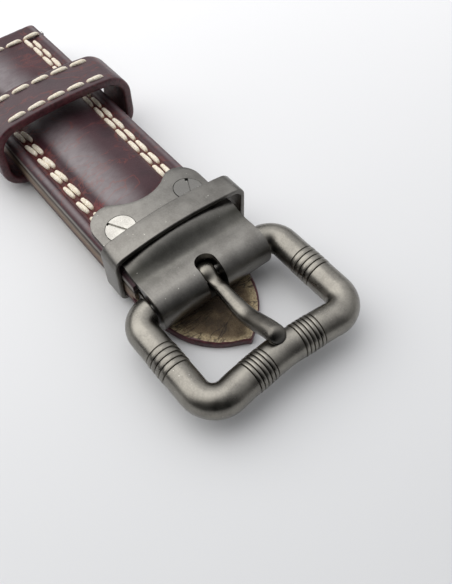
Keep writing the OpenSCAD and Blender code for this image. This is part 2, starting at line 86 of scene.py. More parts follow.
UNDER_Z = -2.7
CORE_Z = CORE_LOW.z
SEAM_Z = 0.75
UPPER_Z = CORE_HIGH.z
TAIL_Z = 2.9
EDGE_Z = 3.0
CROWN = 1.2
CROWN_Z = EDGE_Z + CROWN

# The raised middle

PAD_HALF = 6.2
PAD_RISE = UPPER_HIGH.z - CROWN_Z
PAD_POWER = 3.2
PAD_BACK = LUG_X + 13.0
PAD_FRONT = -16.2

# Each side's two stitch rows: distance from the middle, first stitch and pitch

ROWS = {
    -1: ((8.45, -18.4, 4.5), (7.45, -18.75, 4.3)),
    1: ((7.9, -17.05, 3.92), (6.6, -17.45, 4.0)),
}
ROW_BACK = LUG_X + 5.0
STITCH_LEN = 3.75
STITCH_PITCH = 4.1
THREAD_D = 0.84

# How far the leather sits to one side and hangs lower, ahead of the lug end

DRIFT = -0.5
DRIFT_FROM, DRIFT_TO = LUG_X + 12, LUG_X + 42
SAG = 0.25
SAG_LEN = 20
SAG_END, SAG_FADE = -10.5, 3


# Modelling tools

def clear():
    """Leaves edit mode and deselects everything."""
    if bpy.context.object and bpy.context.object.mode != "OBJECT":
        bpy.ops.object.mode_set(mode="OBJECT")
    bpy.ops.object.select_all(action="DESELECT")


def pick(obj):
    """Selects one piece alone and makes it the active one."""
    clear()
    obj.select_set(True)
    bpy.context.view_layer.objects.active = obj


def apply_place(obj):
    """Moves an object's place, turn and scale into its mesh."""
    pick(obj)
    bpy.ops.object.transform_apply(location=True, rotation=True, scale=True)


def halfway(low, high):
    """The middle between two points."""
    return [(a + b) / 2 for a, b in zip(low, high)]


def block(name, low, high):
    """A box between two corners."""
    clear()
    bpy.ops.mesh.primitive_cube_add(size=1, location=halfway(low, high))
    obj = bpy.context.object
    obj.name = name
    obj.scale = [b - a for a, b in zip(low, high)]
    apply_place(obj)
    return obj


def drum(radius, low, high, axis, sides=48):
    """A cylinder between two ends of its middle line, along Y or Z."""
    clear()
    turn = math.pi / 2 if axis == 1 else 0
    bpy.ops.mesh.primitive_cylinder_add(vertices=sides, radius=radius, depth=abs(high[axis] - low[axis]),
                                        location=halfway(low, high), rotation=(turn, 0, 0))
    made = bpy.context.object
    apply_place(made)
    return made


def cut(obj, axis, places):
    """Slices a mesh square to an axis at each place."""
    pick(obj)
    bpy.ops.object.mode_set(mode="EDIT")
    normal = [0, 0, 0]
    normal[axis] = 1
    for where in places:
        bpy.ops.mesh.select_all(action="SELECT")
        spot = [0, 0, 0]
        spot[axis] = where
        bpy.ops.mesh.bisect(plane_co=spot, plane_no=normal)
    bpy.ops.object.mode_set(mode="OBJECT")


def on_faces(obj, wanted, change):
    """Makes a change in edit mode to the faces that a test on centre and normal picks."""
    pick(obj)
    bpy.ops.object.mode_set(mode="EDIT")
    bpy.ops.mesh.select_mode(type="FACE")
    bpy.ops.mesh.select_all(action="DESELECT")
    bpy.ops.object.mode_set(mode="OBJECT")
    for face in obj.data.polygons:
        face.select = wanted(face.center, face.normal)
    bpy.ops.object.mode_set(mode="EDIT")
    change()
    bpy.ops.object.mode_set(mode="OBJECT")


def open_ends(obj):
    """Takes a block's two end faces away, so that it becomes a loop."""
    on_faces(obj, lambda c, n: abs(n.x) > 0.9, lambda: bpy.ops.mesh.delete(type="ONLY_FACE"))


def sculpt(obj, move):
    """Moves every point of a mesh by a rule."""
    for v in obj.data.vertices:
        v.co = move(v.co)
    obj.data.update()


def modify(obj, kind, **settings):
    """Adds a modifier and applies it."""
    pick(obj)
    mod = obj.modifiers.new(kind.title(), kind)
    for key, value in settings.items():
        setattr(mod, key, value)
    bpy.ops.object.modifier_apply(modifier=mod.name)


def carve(obj, tool):
    """Cuts a tool out of a piece."""
    modify(obj, "BOOLEAN", operation="DIFFERENCE", object=tool, solver="EXACT")
    bpy.data.objects.remove(tool)


def break_edges(obj, width, segments, angle):
    """Bevels the edges that are sharper than an angle in degrees."""
    modify(obj, "BEVEL", width=width, segments=segments, limit_method="ANGLE", angle_limit=math.radians(angle))


def mend(obj, distance=0.001):
    """Merges doubled points and turns all faces outwards."""
    pick(obj)
    bpy.ops.object.mode_set(mode="EDIT")
    bpy.ops.mesh.select_all(action="SELECT")
    bpy.ops.mesh.remove_doubles(threshold=distance)
    bpy.ops.mesh.normals_make_consistent(inside=False)
    bpy.ops.object.mode_set(mode="OBJECT")


def join(name, pieces):
    """Makes several pieces one, with a name."""
    clear()
    for piece in pieces:
        piece.select_set(True)
    bpy.context.view_layer.objects.active = pieces[0]
    if len(pieces) > 1:
        bpy.ops.object.join()
    pieces[0].name = name
    return pieces[0]


def mark(obj, title, rule):
    """Stores a value between 0 and 1 at every point of a mesh, for its material."""
    layer = obj.data.attributes.new(title, "FLOAT", "POINT")
    for v, value in zip(obj.data.vertices, layer.data):
        value.value = rule(v.co)


def settle(obj, body, nodes, materials, smooth=40):
    """Puts a finished piece in the frame, on its body and in place of its CAD nodes."""
    pick(obj)
    bpy.ops.object.shade_smooth_by_angle(angle=math.radians(smooth))
    obj.data.transform(Matrix.Translation(BAR_AXIS) @ Matrix.Scale(MM, 4))
    for material in materials:
        obj.data.materials.append(material)
    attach(obj, body)
    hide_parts(*nodes)
    return obj


# Rules of place

def steps(first, last, size):
    """Even places from first to last, about one size apart."""
    count = max(1, round(abs(last - first) / size))
    return [first + (last - first) * i / count for i in range(count + 1)]


def both_sides(places):
    """The places on both sides of the middle."""
    return sorted({-p for p in places} | set(places))


def side_of(y):
    """-1 on the strap's left side and 1 on its right."""
    return -1 if y < 0 else 1


def smooth_step(t):
    """Rises softly from 0 at 0 to 1 at 1."""
    t = min(1.0, max(0.0, t))
    return t * t * (3 - 2 * t)


def hump(t):
    """A soft bump: 1 at 0, and almost 0 from 2 outwards."""
    return math.exp(-t * t)


def drift(x):
    """How far the strap sits to one side of its middle plane."""
    return DRIFT * smooth_step((x - DRIFT_FROM) / (DRIFT_TO - DRIFT_FROM))


def shift_aside(obj):
    """Moves a piece of the strap aside as far as the strap has drifted."""
    sculpt(obj, lambda p: Vector((p.x, p.y + drift(p.x), p.z)))


# Shader tools

def feed(tree, socket, value):
    """Links a socket to another one or sets its value; a colour is three numbers."""
    if isinstance(value, bpy.types.NodeSocket):
        tree.links.new(value, socket)
    elif socket.type == "RGBA":
        socket.default_value = (*value, 1)
    else:
        socket.default_value = value


def node(tree, kind, **settings):
    """A new node; each keyword names one of its sockets or settings."""
    made = tree.nodes.new(kind)
    for key, value in settings.items():
        if key in made.inputs:
            feed(tree, made.inputs[key], value)
        else:
            setattr(made, key, value)
    return made


def maths(tree, operation, a, b=None, clamp=False):
    """An operation on one or two values or sockets."""
    made = node(tree, "ShaderNodeMath", operation=operation, use_clamp=clamp)
    for socket, value in zip(made.inputs, (a, b)):
        if value is not None:
            feed(tree, socket, value)
    return made.outputs["Value"]


def weighed(tree, first, second):
    """The sum of two (value, weight) pairs."""
    return maths(tree, "ADD", maths(tree, "MULTIPLY", *first), maths(tree, "MULTIPLY", *second))


def ramp(tree, source, stops, smooth=True):
    """A colour ramp; each stop is a place with a colour or a grey."""
    made = node(tree, "ShaderNodeValToRGB", Fac=source)
    if smooth:
        made.color_ramp.interpolation = "EASE"
    points = made.color_ramp.elements
    while len(points) < len(stops):
        points.new(0.5)
    for point, (where, colour) in zip(points, stops):
        point.position = where
        point.color = (*colour, 1) if isinstance(colour, tuple) else (colour, colour, colour, 1)
    return made.outputs["Color"]


def mix(tree, factor, a, b, blend="MIX"):
    """Mixes two colours; each of the three may be a value or a socket."""
    made = node(tree, "ShaderNodeMix", data_type="RGBA", blend_type=blend)
    for socket, value in zip((made.inputs[0], made.inputs[6], made.inputs[7]), (factor, a, b)):
        feed(tree, socket, value)
    return made.outputs[2]


def stretched(tree, coords, scale):
    """Coordinates scaled apart, so that a pattern runs longer one way."""
    return node(tree, "ShaderNodeMapping", vector_type="POINT", Vector=coords, Scale=scale).outputs["Vector"]


def part_of(tree, coords, axis):
    """One of the three coordinates: X, Y or Z."""
    return node(tree, "ShaderNodeSeparateXYZ", Vector=coords).outputs[axis]


def share_along(tree, coords, axis, low, high, clamp=True):
    """0 where a coordinate is low and 1 where it is high."""
    beyond = maths(tree, "SUBTRACT", part_of(tree, coords, axis), low)
    return maths(tree, "DIVIDE", beyond, high - low, clamp=clamp)


def facing(tree, coords, way):
    """How far coordinates lie in a direction."""
    made = node(tree, "ShaderNodeVectorMath", operation="DOT_PRODUCT", Vector=coords)
    made.inputs[1].default_value = way
    return made.outputs["Value"]


def grains(tree, coords, **settings):
    """Plain noise."""
    return node(tree, "ShaderNodeTexNoise", Vector=coords, **settings).outputs["Fac"]


def painted(tree, title):
    """A value stored on the mesh by mark()."""
    return node(tree, "ShaderNodeAttribute", attribute_name=title).outputs["Fac"]


def new_group(name, inputs, outputs):
    """A shader node group with named inputs, {name: (kind, default)}, and outputs."""
    group = bpy.data.node_groups.new(name, "ShaderNodeTree")
    for title, (kind, default) in inputs.items():
        socket = group.interface.new_socket(title, in_out="INPUT", socket_type=kind)
        if default is not None:
            socket.default_value = default
    for title, kind in outputs.items():
        group.interface.new_socket(title, in_out="OUTPUT", socket_type=kind)
    return group, group.nodes.new("NodeGroupInput").outputs, group.nodes.new("NodeGroupOutput").inputs


def use_group(tree, group, coords, **values):
    """Places a group with its own values, and gives its one output."""
    made = node(tree, "ShaderNodeGroup", node_tree=group, Vector=coords)
    for title, value in values.items():
        made.inputs[title.capitalize()].default_value = value
    return made.outputs[0]


def cloudy_group():
    """Slow, soft variation between 0 and 1."""
    group, given, out = new_group(
        "cloudy",
        {"Vector": ("NodeSocketVector", None), "Size": ("NodeSocketFloat", 0.004),
         "Contrast": ("NodeSocketFloat", 1.6)},
        {"Value": "NodeSocketFloat"})
    scale = maths(group, "DIVIDE", 1.0, given["Size"])
    cloud = grains(group, given["Vector"], Scale=scale, Detail=5.0, Roughness=0.55)
    spread = maths(group, "MULTIPLY", maths(group, "SUBTRACT", cloud, 0.5), given["Contrast"])
    group.links.new(maths(group, "ADD", spread, 0.5, clamp=True), out["Value"])
    return group


def pebble_group():
    """Leather grain: rounded pebbles with fine creases between them."""
    group, given, out = new_group(
        "pebbles",
        {"Vector": ("NodeSocketVector", None), "Size": ("NodeSocketFloat", 0.0005)},
        {"Height": "NodeSocketFloat"})
    scale = maths(group, "DIVIDE", 1.0, given["Size"])
    warp = node(group, "ShaderNodeTexNoise", Vector=given["Vector"], Scale=900.0, Detail=2.0)
    shift = node(group, "ShaderNodeVectorMath", operation="MULTIPLY_ADD")
    for socket, value in zip(shift.inputs, (warp.outputs["Color"], (0.0006, 0.0006, 0.0006), given["Vector"])):
        feed(group, socket, value)
    cells = node(group, "ShaderNodeTexVoronoi", feature="DISTANCE_TO_EDGE", Vector=shift.outputs["Vector"],
                 Scale=scale)
    steep = maths(group, "MULTIPLY", cells.outputs["Distance"], 2.2, clamp=True)
    group.links.new(maths(group, "POWER", steep, 0.5), out["Height"])
    return group


def crease_group():
    """Long thin creases, 1 in a crease and 0 elsewhere."""
    group, given, out = new_group(
        "creases",
        {"Vector": ("NodeSocketVector", None), "Size": ("NodeSocketFloat", 0.005),
         "Width": ("NodeSocketFloat", 0.05)},
        {"Mask": "NodeSocketFloat"})
    scale = maths(group, "DIVIDE", 1.0, given["Size"])
    lines = grains(group, given["Vector"], Scale=scale, Detail=4.0, Roughness=0.6, Distortion=0.8)
    off = maths(group, "ABSOLUTE", maths(group, "SUBTRACT", lines, 0.5))
    near = maths(group, "SUBTRACT", 1.0, maths(group, "DIVIDE", off, given["Width"]), clamp=True)
    group.links.new(near, out["Mask"])
    return group


CLOUDY = cloudy_group()
PEBBLES = pebble_group()
CREASES = crease_group()


def start_material(name):
    """An empty material with its shader, and the piece's own coordinates."""
    material = bpy.data.materials.new(name)
    material.use_nodes = True
    tree = material.node_tree
    tree.nodes.clear()
    out = node(tree, "ShaderNodeOutputMaterial")
    shader = node(tree, "ShaderNodeBsdfPrincipled")
    tree.links.new(shader.outputs["BSDF"], out.inputs["Surface"])
    coords = node(tree, "ShaderNodeTexCoord").outputs["Object"]
    return material, tree, shader, coords


def finish(tree, shader, colour, roughness):
    """Gives the shader its colour and its roughness."""
    feed(tree, shader.inputs["Base Color"], colour)
    feed(tree, shader.inputs["Roughness"], roughness)


def bump(tree, shader, height, distance, strength=1.0, below=None):
    """Feeds a height to the shader's normal, on top of another bump if one is given."""
    made = node(tree, "ShaderNodeBump", Height=height, Strength=strength, Distance=distance)
    if below is not None:
        tree.links.new(below, made.inputs["Normal"])
    tree.links.new(made.outputs["Normal"], shader.inputs["Normal"])
    return made.outputs["Normal"]


# Metals

DUST = (0.62, 0.60, 0.55)
METAL_GRAIN = 0.00002


def metal(name, dark, light, rough_low, rough_high, tarnish_and_shade=None, tarnish_and_shade_colour=None):
    """Bead-blasted metal: cloudy tone and gloss over a very fine grain, and specks of dust."""
    material, tree, shader, coords = start_material(name)
    shader.inputs["Metallic"].default_value = 1.0
    tone = use_group(tree, CLOUDY, coords, size=0.003, contrast=1.8)
    fine = use_group(tree, CLOUDY, coords, size=0.0003, contrast=1.4)
    clean = ramp(tree, weighed(tree, (tone, 0.65), (fine, 0.35)), [(0.25, dark), (0.75, light)])
    # An optional mask mixes in a darker colour: patina with painted shade on the plate, painted shade on the prong,
    # and a darker far screw.
    if tarnish_and_shade:
        clean = mix(tree, tarnish_and_shade(tree, coords), clean, tarnish_and_shade_colour)
    specks = ramp(tree, grains(tree, coords, Scale=2600.0, Detail=1.0), [(0.775, 0.0), (0.80, 0.8)])
    gloss = ramp(tree, tone, [(0.2, rough_low), (0.8, rough_high)])
    finish(tree, shader, mix(tree, specks, clean, DUST), gloss)
    bump(tree, shader, grains(tree, coords, Scale=9000.0, Detail=3.0), METAL_GRAIN, 0.5)
    return material


def far_side(tree, coords):
    """The screw on the far side is darker than the near one."""
    return ramp(tree, share_along(tree, coords, "Y", -2 * MM, 2 * MM), [(0.2, 0.0), (0.8, 0.85)])


def tip_painted_shade(tree, coords):
    """Painted shade: the prong darkens towards its tip, whose end turns away from the light."""
    along = share_along(tree, coords, "X", place(9, 0, 0).x, place(20, 0, 0).x)
    return ramp(tree, along, [(0.0, 0.0), (0.45, 0.22), (0.78, 0.40), (0.90, 0.85)])


def hollow_patina_and_shade(tree, coords):
    """How dark the plate is in the hollow before the barrel, most of all at its ends: partly patina, and partly
    painted shade that grows towards the ends.
    """
    along = share_along(tree, coords, "X", place(-8, 0, 0).x, place(0, 0, 0).x)
    hollow = ramp(tree, along, [(0.0, 0.0), (0.20, 0.30), (0.36, 0.62), (0.50, 0.50), (0.72, 0.14), (0.92, 0.0)])
    off = maths(tree, "DIVIDE", maths(tree, "ABSOLUTE", part_of(tree, coords, "Y")), HALF_W * MM)
    # Painted shade: the hollow is darkened more towards the plate's ends.
    ends = maths(tree, "ADD", maths(tree, "MULTIPLY", maths(tree, "POWER", off, 3.0), 0.45), 1.0)
    return maths(tree, "MULTIPLY", hollow, ends, clamp=True)


GUNMETAL = metal("gunmetal", (0.172, 0.163, 0.146), (0.258, 0.245, 0.217), 0.26, 0.33)
# The prong's darkening towards its tip is painted shade.
PRONG_METAL = metal("prong_metal", (0.16, 0.151, 0.134), (0.24, 0.226, 0.198), 0.26, 0.33,
                    tarnish_and_shade=tip_painted_shade, tarnish_and_shade_colour=(0.02, 0.02, 0.022))
BAND_METAL = metal("band_metal", (0.135, 0.129, 0.119), (0.195, 0.188, 0.174), 0.28, 0.36)
PLATE_METAL = metal("plate_metal", (0.14, 0.134, 0.124), (0.202, 0.195, 0.181), 0.28, 0.36,
                    tarnish_and_shade=hollow_patina_and_shade, tarnish_and_shade_colour=(0.018, 0.0185, 0.014))
SCREW_METAL = metal("screw_metal", (0.30, 0.29, 0.27), (0.42, 0.41, 0.38), 0.22, 0.30,
                    tarnish_and_shade=far_side, tarnish_and_shade_colour=(0.15, 0.146, 0.138))
BAR_METAL = metal("bar_metal", (0.40, 0.39, 0.38), (0.58, 0.57, 0.55), 0.22, 0.34)


# Leathers, thread and felt

def upper_leather_material():
    """Waxed pull-up leather: a grey painted sheen and more coat gloss on one flank and the margins, red where it is
    creased or scuffed.
    """
    material, tree, shader, coords = start_material("burgundy_leather")
    long_way = stretched(tree, coords, (1.0, 0.45, 1.0))
    longer_way = stretched(tree, coords, (1.0, 0.30, 1.0))
    cloud = use_group(tree, CLOUDY, coords, size=0.009, contrast=2.0)
    patch = use_group(tree, CLOUDY, coords, size=0.0018, contrast=1.5)
    rubs = use_group(tree, CLOUDY, longer_way, size=0.0007, contrast=1.5)
    crease = use_group(tree, CREASES, long_way, size=0.0060, width=0.015)
    fibres = use_group(tree, CREASES, coords, size=0.0011, width=0.06)
    pebbles = use_group(tree, PEBBLES, coords, size=0.00055)

    body = ramp(tree, cloud, [(0.15, (0.030, 0.009, 0.014)), (0.55, (0.048, 0.015, 0.021)),
                              (0.9, (0.075, 0.024, 0.029))])
    uneven = maths(tree, "ADD", weighed(tree, (rubs, 0.32), (patch, 0.50)), 0.5)
    # Painted sheen: a grey highlight mixed into the colour over one flank and the margins, broken up by the rubs and
    # patches; the coat adds real gloss there.
    sheen = maths(tree, "MULTIPLY", painted(tree, "painted_sheen"), uneven, clamp=True)
    sheened = mix(tree, sheen, body, (0.150, 0.118, 0.128))
    sewn = mix(tree, maths(tree, "MULTIPLY", painted(tree, "sewn"), 0.85), sheened, (0.085, 0.016, 0.013))
    creased = mix(tree, maths(tree, "MULTIPLY", crease, 0.5), sewn, (0.20, 0.045, 0.034))
    raw = maths(tree, "MULTIPLY", painted(tree, "scuff"), maths(tree, "ADD", fibres, 0.12), clamp=True)
    finish(tree, shader, mix(tree, raw, creased, (0.20, 0.026, 0.026)), ramp(tree, patch, [(0.2, 0.32), (0.8, 0.46)]))
    shader.inputs["Specular IOR Level"].default_value = 0.22
    shader.inputs["Coat IOR"].default_value = 1.62
    shader.inputs["Coat Roughness"].default_value = 0.39
    feed(tree, shader.inputs["Coat Weight"], maths(tree, "MULTIPLY", sheen, 0.93))

    grain = bump(tree, shader, pebbles, 0.00005, 0.45)
    lined = bump(tree, shader, crease, 0.00006, -0.5, grain)
    worn = bump(tree, shader, rubs, 0.00003, 0.4, lined)
    wrinkles = grains(tree, long_way, Scale=420.0, Detail=5.0, Roughness=0.6)
    bump(tree, shader, wrinkles, 0.00022, 0.5, worn)
    return material


def cut_edge_material():
    """A cut and painted leather edge, with fibres that run along the strap."""
    material, tree, shader, coords = start_material("dark_red_edge")
    streak = use_group(tree, CLOUDY, stretched(tree, coords, (0.12, 1.0, 1.0)), size=0.0005, contrast=2.0)
    cloud = use_group(tree, CLOUDY, coords, size=0.003, contrast=1.6)
    both = weighed(tree, (streak, 0.5), (cloud, 0.5))
    finish(tree, shader, ramp(tree, both, [(0.25, (0.040, 0.010, 0.014)), (0.75, (0.115, 0.030, 0.038))]), 0.36)
    bump(tree, shader, streak, 0.00006, 0.6)
    return material


def layered_edge_material():
    """The strap's side: the pale edge of a thin ply made paler by a painted highlight, a dark seam, raw brown leather
    and a dark red foot, with a painted shade line under the rolled top.
    """
    material, tree, shader, coords = start_material("layered_edge")
    level = share_along(tree, coords, "Z", place(0, 0, -3).z, place(0, 0, 3).z, clamp=False)
    streak = use_group(tree, CLOUDY, stretched(tree, coords, (0.1, 1.0, 1.0)), size=0.0004, contrast=2.2)
    cloud = use_group(tree, CLOUDY, coords, size=0.004, contrast=1.8)
    wavy = maths(tree, "ADD", level, maths(tree, "MULTIPLY", maths(tree, "SUBTRACT", cloud, 0.5), 0.03))
    # From the foot up: dark red foot, raw brown leather, the dark seam, a thin ply's edge painted pale as a
    # highlight, and a painted shade line under the rolled top.
    bands = ramp(tree, wavy, [(0.0, (0.040, 0.018, 0.016)), (0.13, (0.046, 0.020, 0.018)),
                              (0.20, (0.14, 0.080, 0.060)), (0.28, (0.24, 0.170, 0.122)),
                              (0.44, (0.215, 0.158, 0.110)), (0.55, (0.120, 0.090, 0.062)),
                              (0.625, (0.022, 0.016, 0.014)), (0.68, (0.05, 0.04, 0.033)),
                              (0.75, (0.19, 0.175, 0.155)), (0.85, (0.27, 0.25, 0.225)),
                              (0.89, (0.06, 0.045, 0.05)), (0.93, (0.03, 0.018, 0.022))])
    finish(tree, shader, mix(tree, maths(tree, "MULTIPLY", streak, 0.40), bands, (0.05, 0.028, 0.020)), 0.5)
    bump(tree, shader, streak, 0.00006, 0.5)
    return material


def flesh_side_material():
    """The rough flesh side of the lining: golden by the rim, dark brown and cracked further in, the darkening partly
    its tone and partly painted shade towards the buckle bar.
    """
    material, tree, shader, coords = start_material("flesh_side")
    cloud = use_group(tree, CLOUDY, coords, size=0.0030, contrast=2.4)
    nap = use_group(tree, CLOUDY, coords, size=0.00030, contrast=3.0)
    crease = use_group(tree, CREASES, stretched(tree, coords, (1.0, 0.35, 1.0)), size=0.0045, width=0.022)
    # Paler by the rim; the darker brown further in is partly the leather's tone and partly painted shade towards the
    # buckle bar.
    level = weighed(tree, (cloud, 0.50), (painted(tree, "near_rim"), 0.75))
    tone = ramp(tree, level, [(0.15, (0.060, 0.042, 0.025)), (0.45, (0.17, 0.122, 0.068)),
                              (0.75, (0.50, 0.40, 0.24)), (1.0, (0.66, 0.54, 0.35))])
    rough = mix(tree, maths(tree, "MULTIPLY", nap, 0.60), tone, (0.07, 0.042, 0.020))
    finish(tree, shader, mix(tree, maths(tree, "MULTIPLY", crease, 0.85), rough, (0.018, 0.010, 0.007)), 0.6)
    fuzzy = bump(tree, shader, nap, 0.00016, 0.8)
    bump(tree, shader, crease, 0.0003, -0.8, fuzzy)
    return material


def thread_material():
    """Waxed linen thread: pale, with fibres, soiled where it enters the leather and with painted shade along its
    underside.
    """
    material, tree, shader, coords = start_material("linen_thread")
    fibre = use_group(tree, CLOUDY, coords, size=0.00025, contrast=1.8)
    pale = ramp(tree, fibre, [(0.2, (0.72, 0.63, 0.47)), (0.8, (0.96, 0.90, 0.79))])
    # The soil mask darkens the ends with soil and the underside with painted shade.
    finish(tree, shader, mix(tree, painted(tree, "soil_and_shade"), pale, (0.34, 0.13, 0.05)), 0.6)
    bump(tree, shader, fibre, 0.00005, 0.6)
    return material


def felt_material():
    """The hidden padding."""
    material, tree, shader, coords = start_material("felt")
    nap = use_group(tree, CLOUDY, coords, size=0.0004, contrast=2.0)
    finish(tree, shader, ramp(tree, nap, [(0.2, (0.30, 0.28, 0.25)), (0.8, (0.55, 0.52, 0.47))]), 0.95)
    bump(tree, shader, nap, 0.0001, 0.7)
    return material


BURGUNDY = upper_leather_material()
DARK_EDGE = cut_edge_material()
LAYERS = layered_edge_material()
TAN = flesh_side_material()
LINEN = thread_material()
FELT = felt_material()


# Upper leather

BED_DEEP, BED_HALF = 0.16, 1.25
CREASE_DEEP, CREASE_OUT, CREASE_HALF = 0.26, 0.85, 0.22
ROW_DEEP, ROW_HALF, ROW_FADE = 0.16, 0.42, 3
HOLE_DEEP, HOLE_LONG, HOLE_WIDE = 0.26, 0.4, 0.32
EDGE_ROLL, EDGE_DROP = 0.9, 0.55
WAVE = 0.05

FINE_FROM, FINE_TO = -48, -16
ACROSS = [0, 1, 2, 3, 4, 4.8, 5.4, 5.8] + steps(6.1, 10.5, 0.2) + [10.65, 10.8, 10.92]
TUCKED_Z = 2.6

# Where the painted sheen lies: along both margins, and over one flank of the pad, fading across it.
MARGIN_SHEEN, MARGIN_Y, MARGIN_HALF = 0.72, 10.1, 0.5
FLANK_Y, FLANK_RISE = -6.15, 1.6
FADE_Y, FADE_LEN, FADED = -3.4, 5.6, 0.92
SCUFF_X, SCUFF_Y = -20.9, -6.2


def surface_z(x, y):
    """Height of the upper leather's face."""
    off = abs(y)
    crown = EDGE_Z + CROWN * (1 - (off / HALF_W) ** 2)
    z = TAIL_Z + (crown - TAIL_Z) * smooth_step((x - LUG_X) / TAIL_LEN)
    over = max(0.0, x - (PAD_FRONT - PAD_HALF), PAD_BACK + PAD_HALF - x)
    near = math.hypot(over, off) / PAD_HALF
    if near < 1:
        z += PAD_RISE * (1 - near ** PAD_POWER)
    return z


def pressed_at(x, y):
    """How deep the stitch rows of a side, the crease beside them and their holes are pressed in."""
    off, rows = abs(y), ROWS[side_of(y)]
    outer, inner = rows[0][0], rows[1][0]
    press = BED_DEEP * math.exp(-((off - (outer + inner) / 2) / BED_HALF) ** 4)
    press += CREASE_DEEP * hump((off - outer - CREASE_OUT) / CREASE_HALF)
    for row, front, pitch in rows:
        press += ROW_DEEP * hump((off - row) / ROW_HALF)
        t = (front + pitch / 2 - x) / pitch
        gap = (t - round(t)) * pitch
        press += HOLE_DEEP * hump(gap / HOLE_LONG) * hump((off - row) / HOLE_WIDE)
    return press * smooth_step((x - ROW_BACK + ROW_FADE) / ROW_FADE)


def grooved_z(x, y):
    """Height of the face with the stitch rows pressed in and the side rolled over."""
    z = surface_z(x, y) - pressed_at(x, y)
    over = (abs(y) - HALF_W + EDGE_ROLL) / EDGE_ROLL
    if over > 0:
        z -= EDGE_DROP * (1 - math.sqrt(max(0.0, 1 - over * over)))
    return z


def painted_sheen_at(p):
    """Where the grey painted sheen lies, as a highlight in the colour: one flank of the pad and both rounded margins.
    """
    margin = MARGIN_SHEEN * hump((abs(p.y) - MARGIN_Y) / MARGIN_HALF)
    flank = smooth_step((p.y - FLANK_Y) / FLANK_RISE) * (1 - FADED * smooth_step((p.y - FADE_Y) / FADE_LEN))
    return max(margin, flank)


def sewn_band(p):
    """The redder band under a side's two stitch rows, as far back as they reach."""
    off, rows = abs(p.y), ROWS[side_of(p.y)]
    outer, inner = rows[0][0] + 0.9, rows[1][0] - 0.9
    across = smooth_step((off - inner) / 0.5) * smooth_step((outer - off) / 0.4)
    return across * smooth_step((p.x - ROW_BACK + 0.5) / 1.5)


def scuff_at(p):
    """Raw red patches: one by the left ear, and a line along the edge of the end plate."""
    patch = hump((p.x - SCUFF_X) / 0.9) * hump((p.y - SCUFF_Y) / 0.75)
    edge = ear_edge(p.y)
    line = math.exp(-max(0.0, edge - p.x) / 0.45) if p.x < edge + 1 else 0.0
    return min(1.0, 1.3 * patch + 0.55 * line)


def make_upper_leather():
    """A skin crowned and raised over the padding, and folded round the lug end."""
    top = block("upper_leather_skin", (LUG_X, -HALF_W, UPPER_Z), (STRAP_FRONT, HALF_W, EDGE_Z))
    cut(top, 0, steps(LUG_X, FINE_FROM, 1.0)[1:] + steps(FINE_FROM, FINE_TO, 0.4)[1:]
        + steps(FINE_TO, PLATE_START - 0.4, 1.0)[1:] + [PLATE_START - 0.15, PLATE_START - 0.05])
    cut(top, 1, both_sides(ACROSS))

    def shape(p):
        if p.z < (UPPER_Z + EDGE_Z) / 2:
            return p
        if p.x > PLATE_START - 0.1:
            return Vector((p.x, p.y, min(grooved_z(p.x, p.y), TUCKED_Z)))
        wave = WAVE * noise.noise(Vector((p.x * 0.16, p.y * 0.3, 1.7)))
        inside = smooth_step((HALF_W - abs(p.y)) / 2)
        return Vector((p.x, p.y, grooved_z(p.x, p.y) + wave * inside))

    def fold():
        bpy.ops.mesh.spin(steps=14, angle=math.pi, center=(LUG_X, 0, (TAIL_Z + UNDER_Z) / 2), axis=(0, 1, 0))

    sculpt(top, shape)
    on_faces(top, lambda c, n: c.x < LUG_X + 0.01 and n.x < -0.9, fold)
    mend(top)
    # Stores where the grey painted sheen goes.
    mark(top, "painted_sheen", painted_sheen_at)
    mark(top, "sewn", sewn_band)
    mark(top, "scuff", scuff_at)
    shift_aside(top)
    for face in top.data.polygons:
        face.material_index = int(abs(face.normal.y) > 0.8 and face.center.x > LUG_X and face.center.z < EDGE_Z)
    return settle(top, "strap", ["upper_leather"], [BURGUNDY, LAYERS])


# Inner layers

CORE_BACK = LUG_X + 10.05
CORE_INSET = 0.04
SEAM_DEEP, SEAM_HALF, SEAM_SLOPE = 0.26, 0.13, 1.2
LOOP_INSET = 0.15
LOOP_END_R, LOOP_BORE_R = 1.35, 0.95
SKIN_T = 1.35


def make_core():
    """The middle plies, with a seam pressed in along both sides."""
    half = HALF_W - CORE_INSET
    core = block("core_layers", (CORE_BACK, -half, CORE_Z), (STRAP_FRONT, half, UPPER_Z))
    cut(core, 0, steps(CORE_BACK, STRAP_FRONT, 2.0)[1:-1])
    cut(core, 2, [CORE_Z + 0.3] + [SEAM_Z + off for off in (-0.3, -0.12, 0, 0.12, 0.3)])

    def shape(p):
        near = abs(p.z - SEAM_Z)
        depth = SEAM_DEEP - SEAM_SLOPE * near if near < SEAM_HALF else 0.0
        wave = 0.06 * noise.noise(Vector((p.x * 0.35, p.z, 4.2)))
        return Vector((p.x, p.y - math.copysign(1, p.y) * (depth - wave), p.z))

    sculpt(core, shape)
    shift_aside(core)
    return settle(core, "strap", ["core_leather"], [LAYERS])


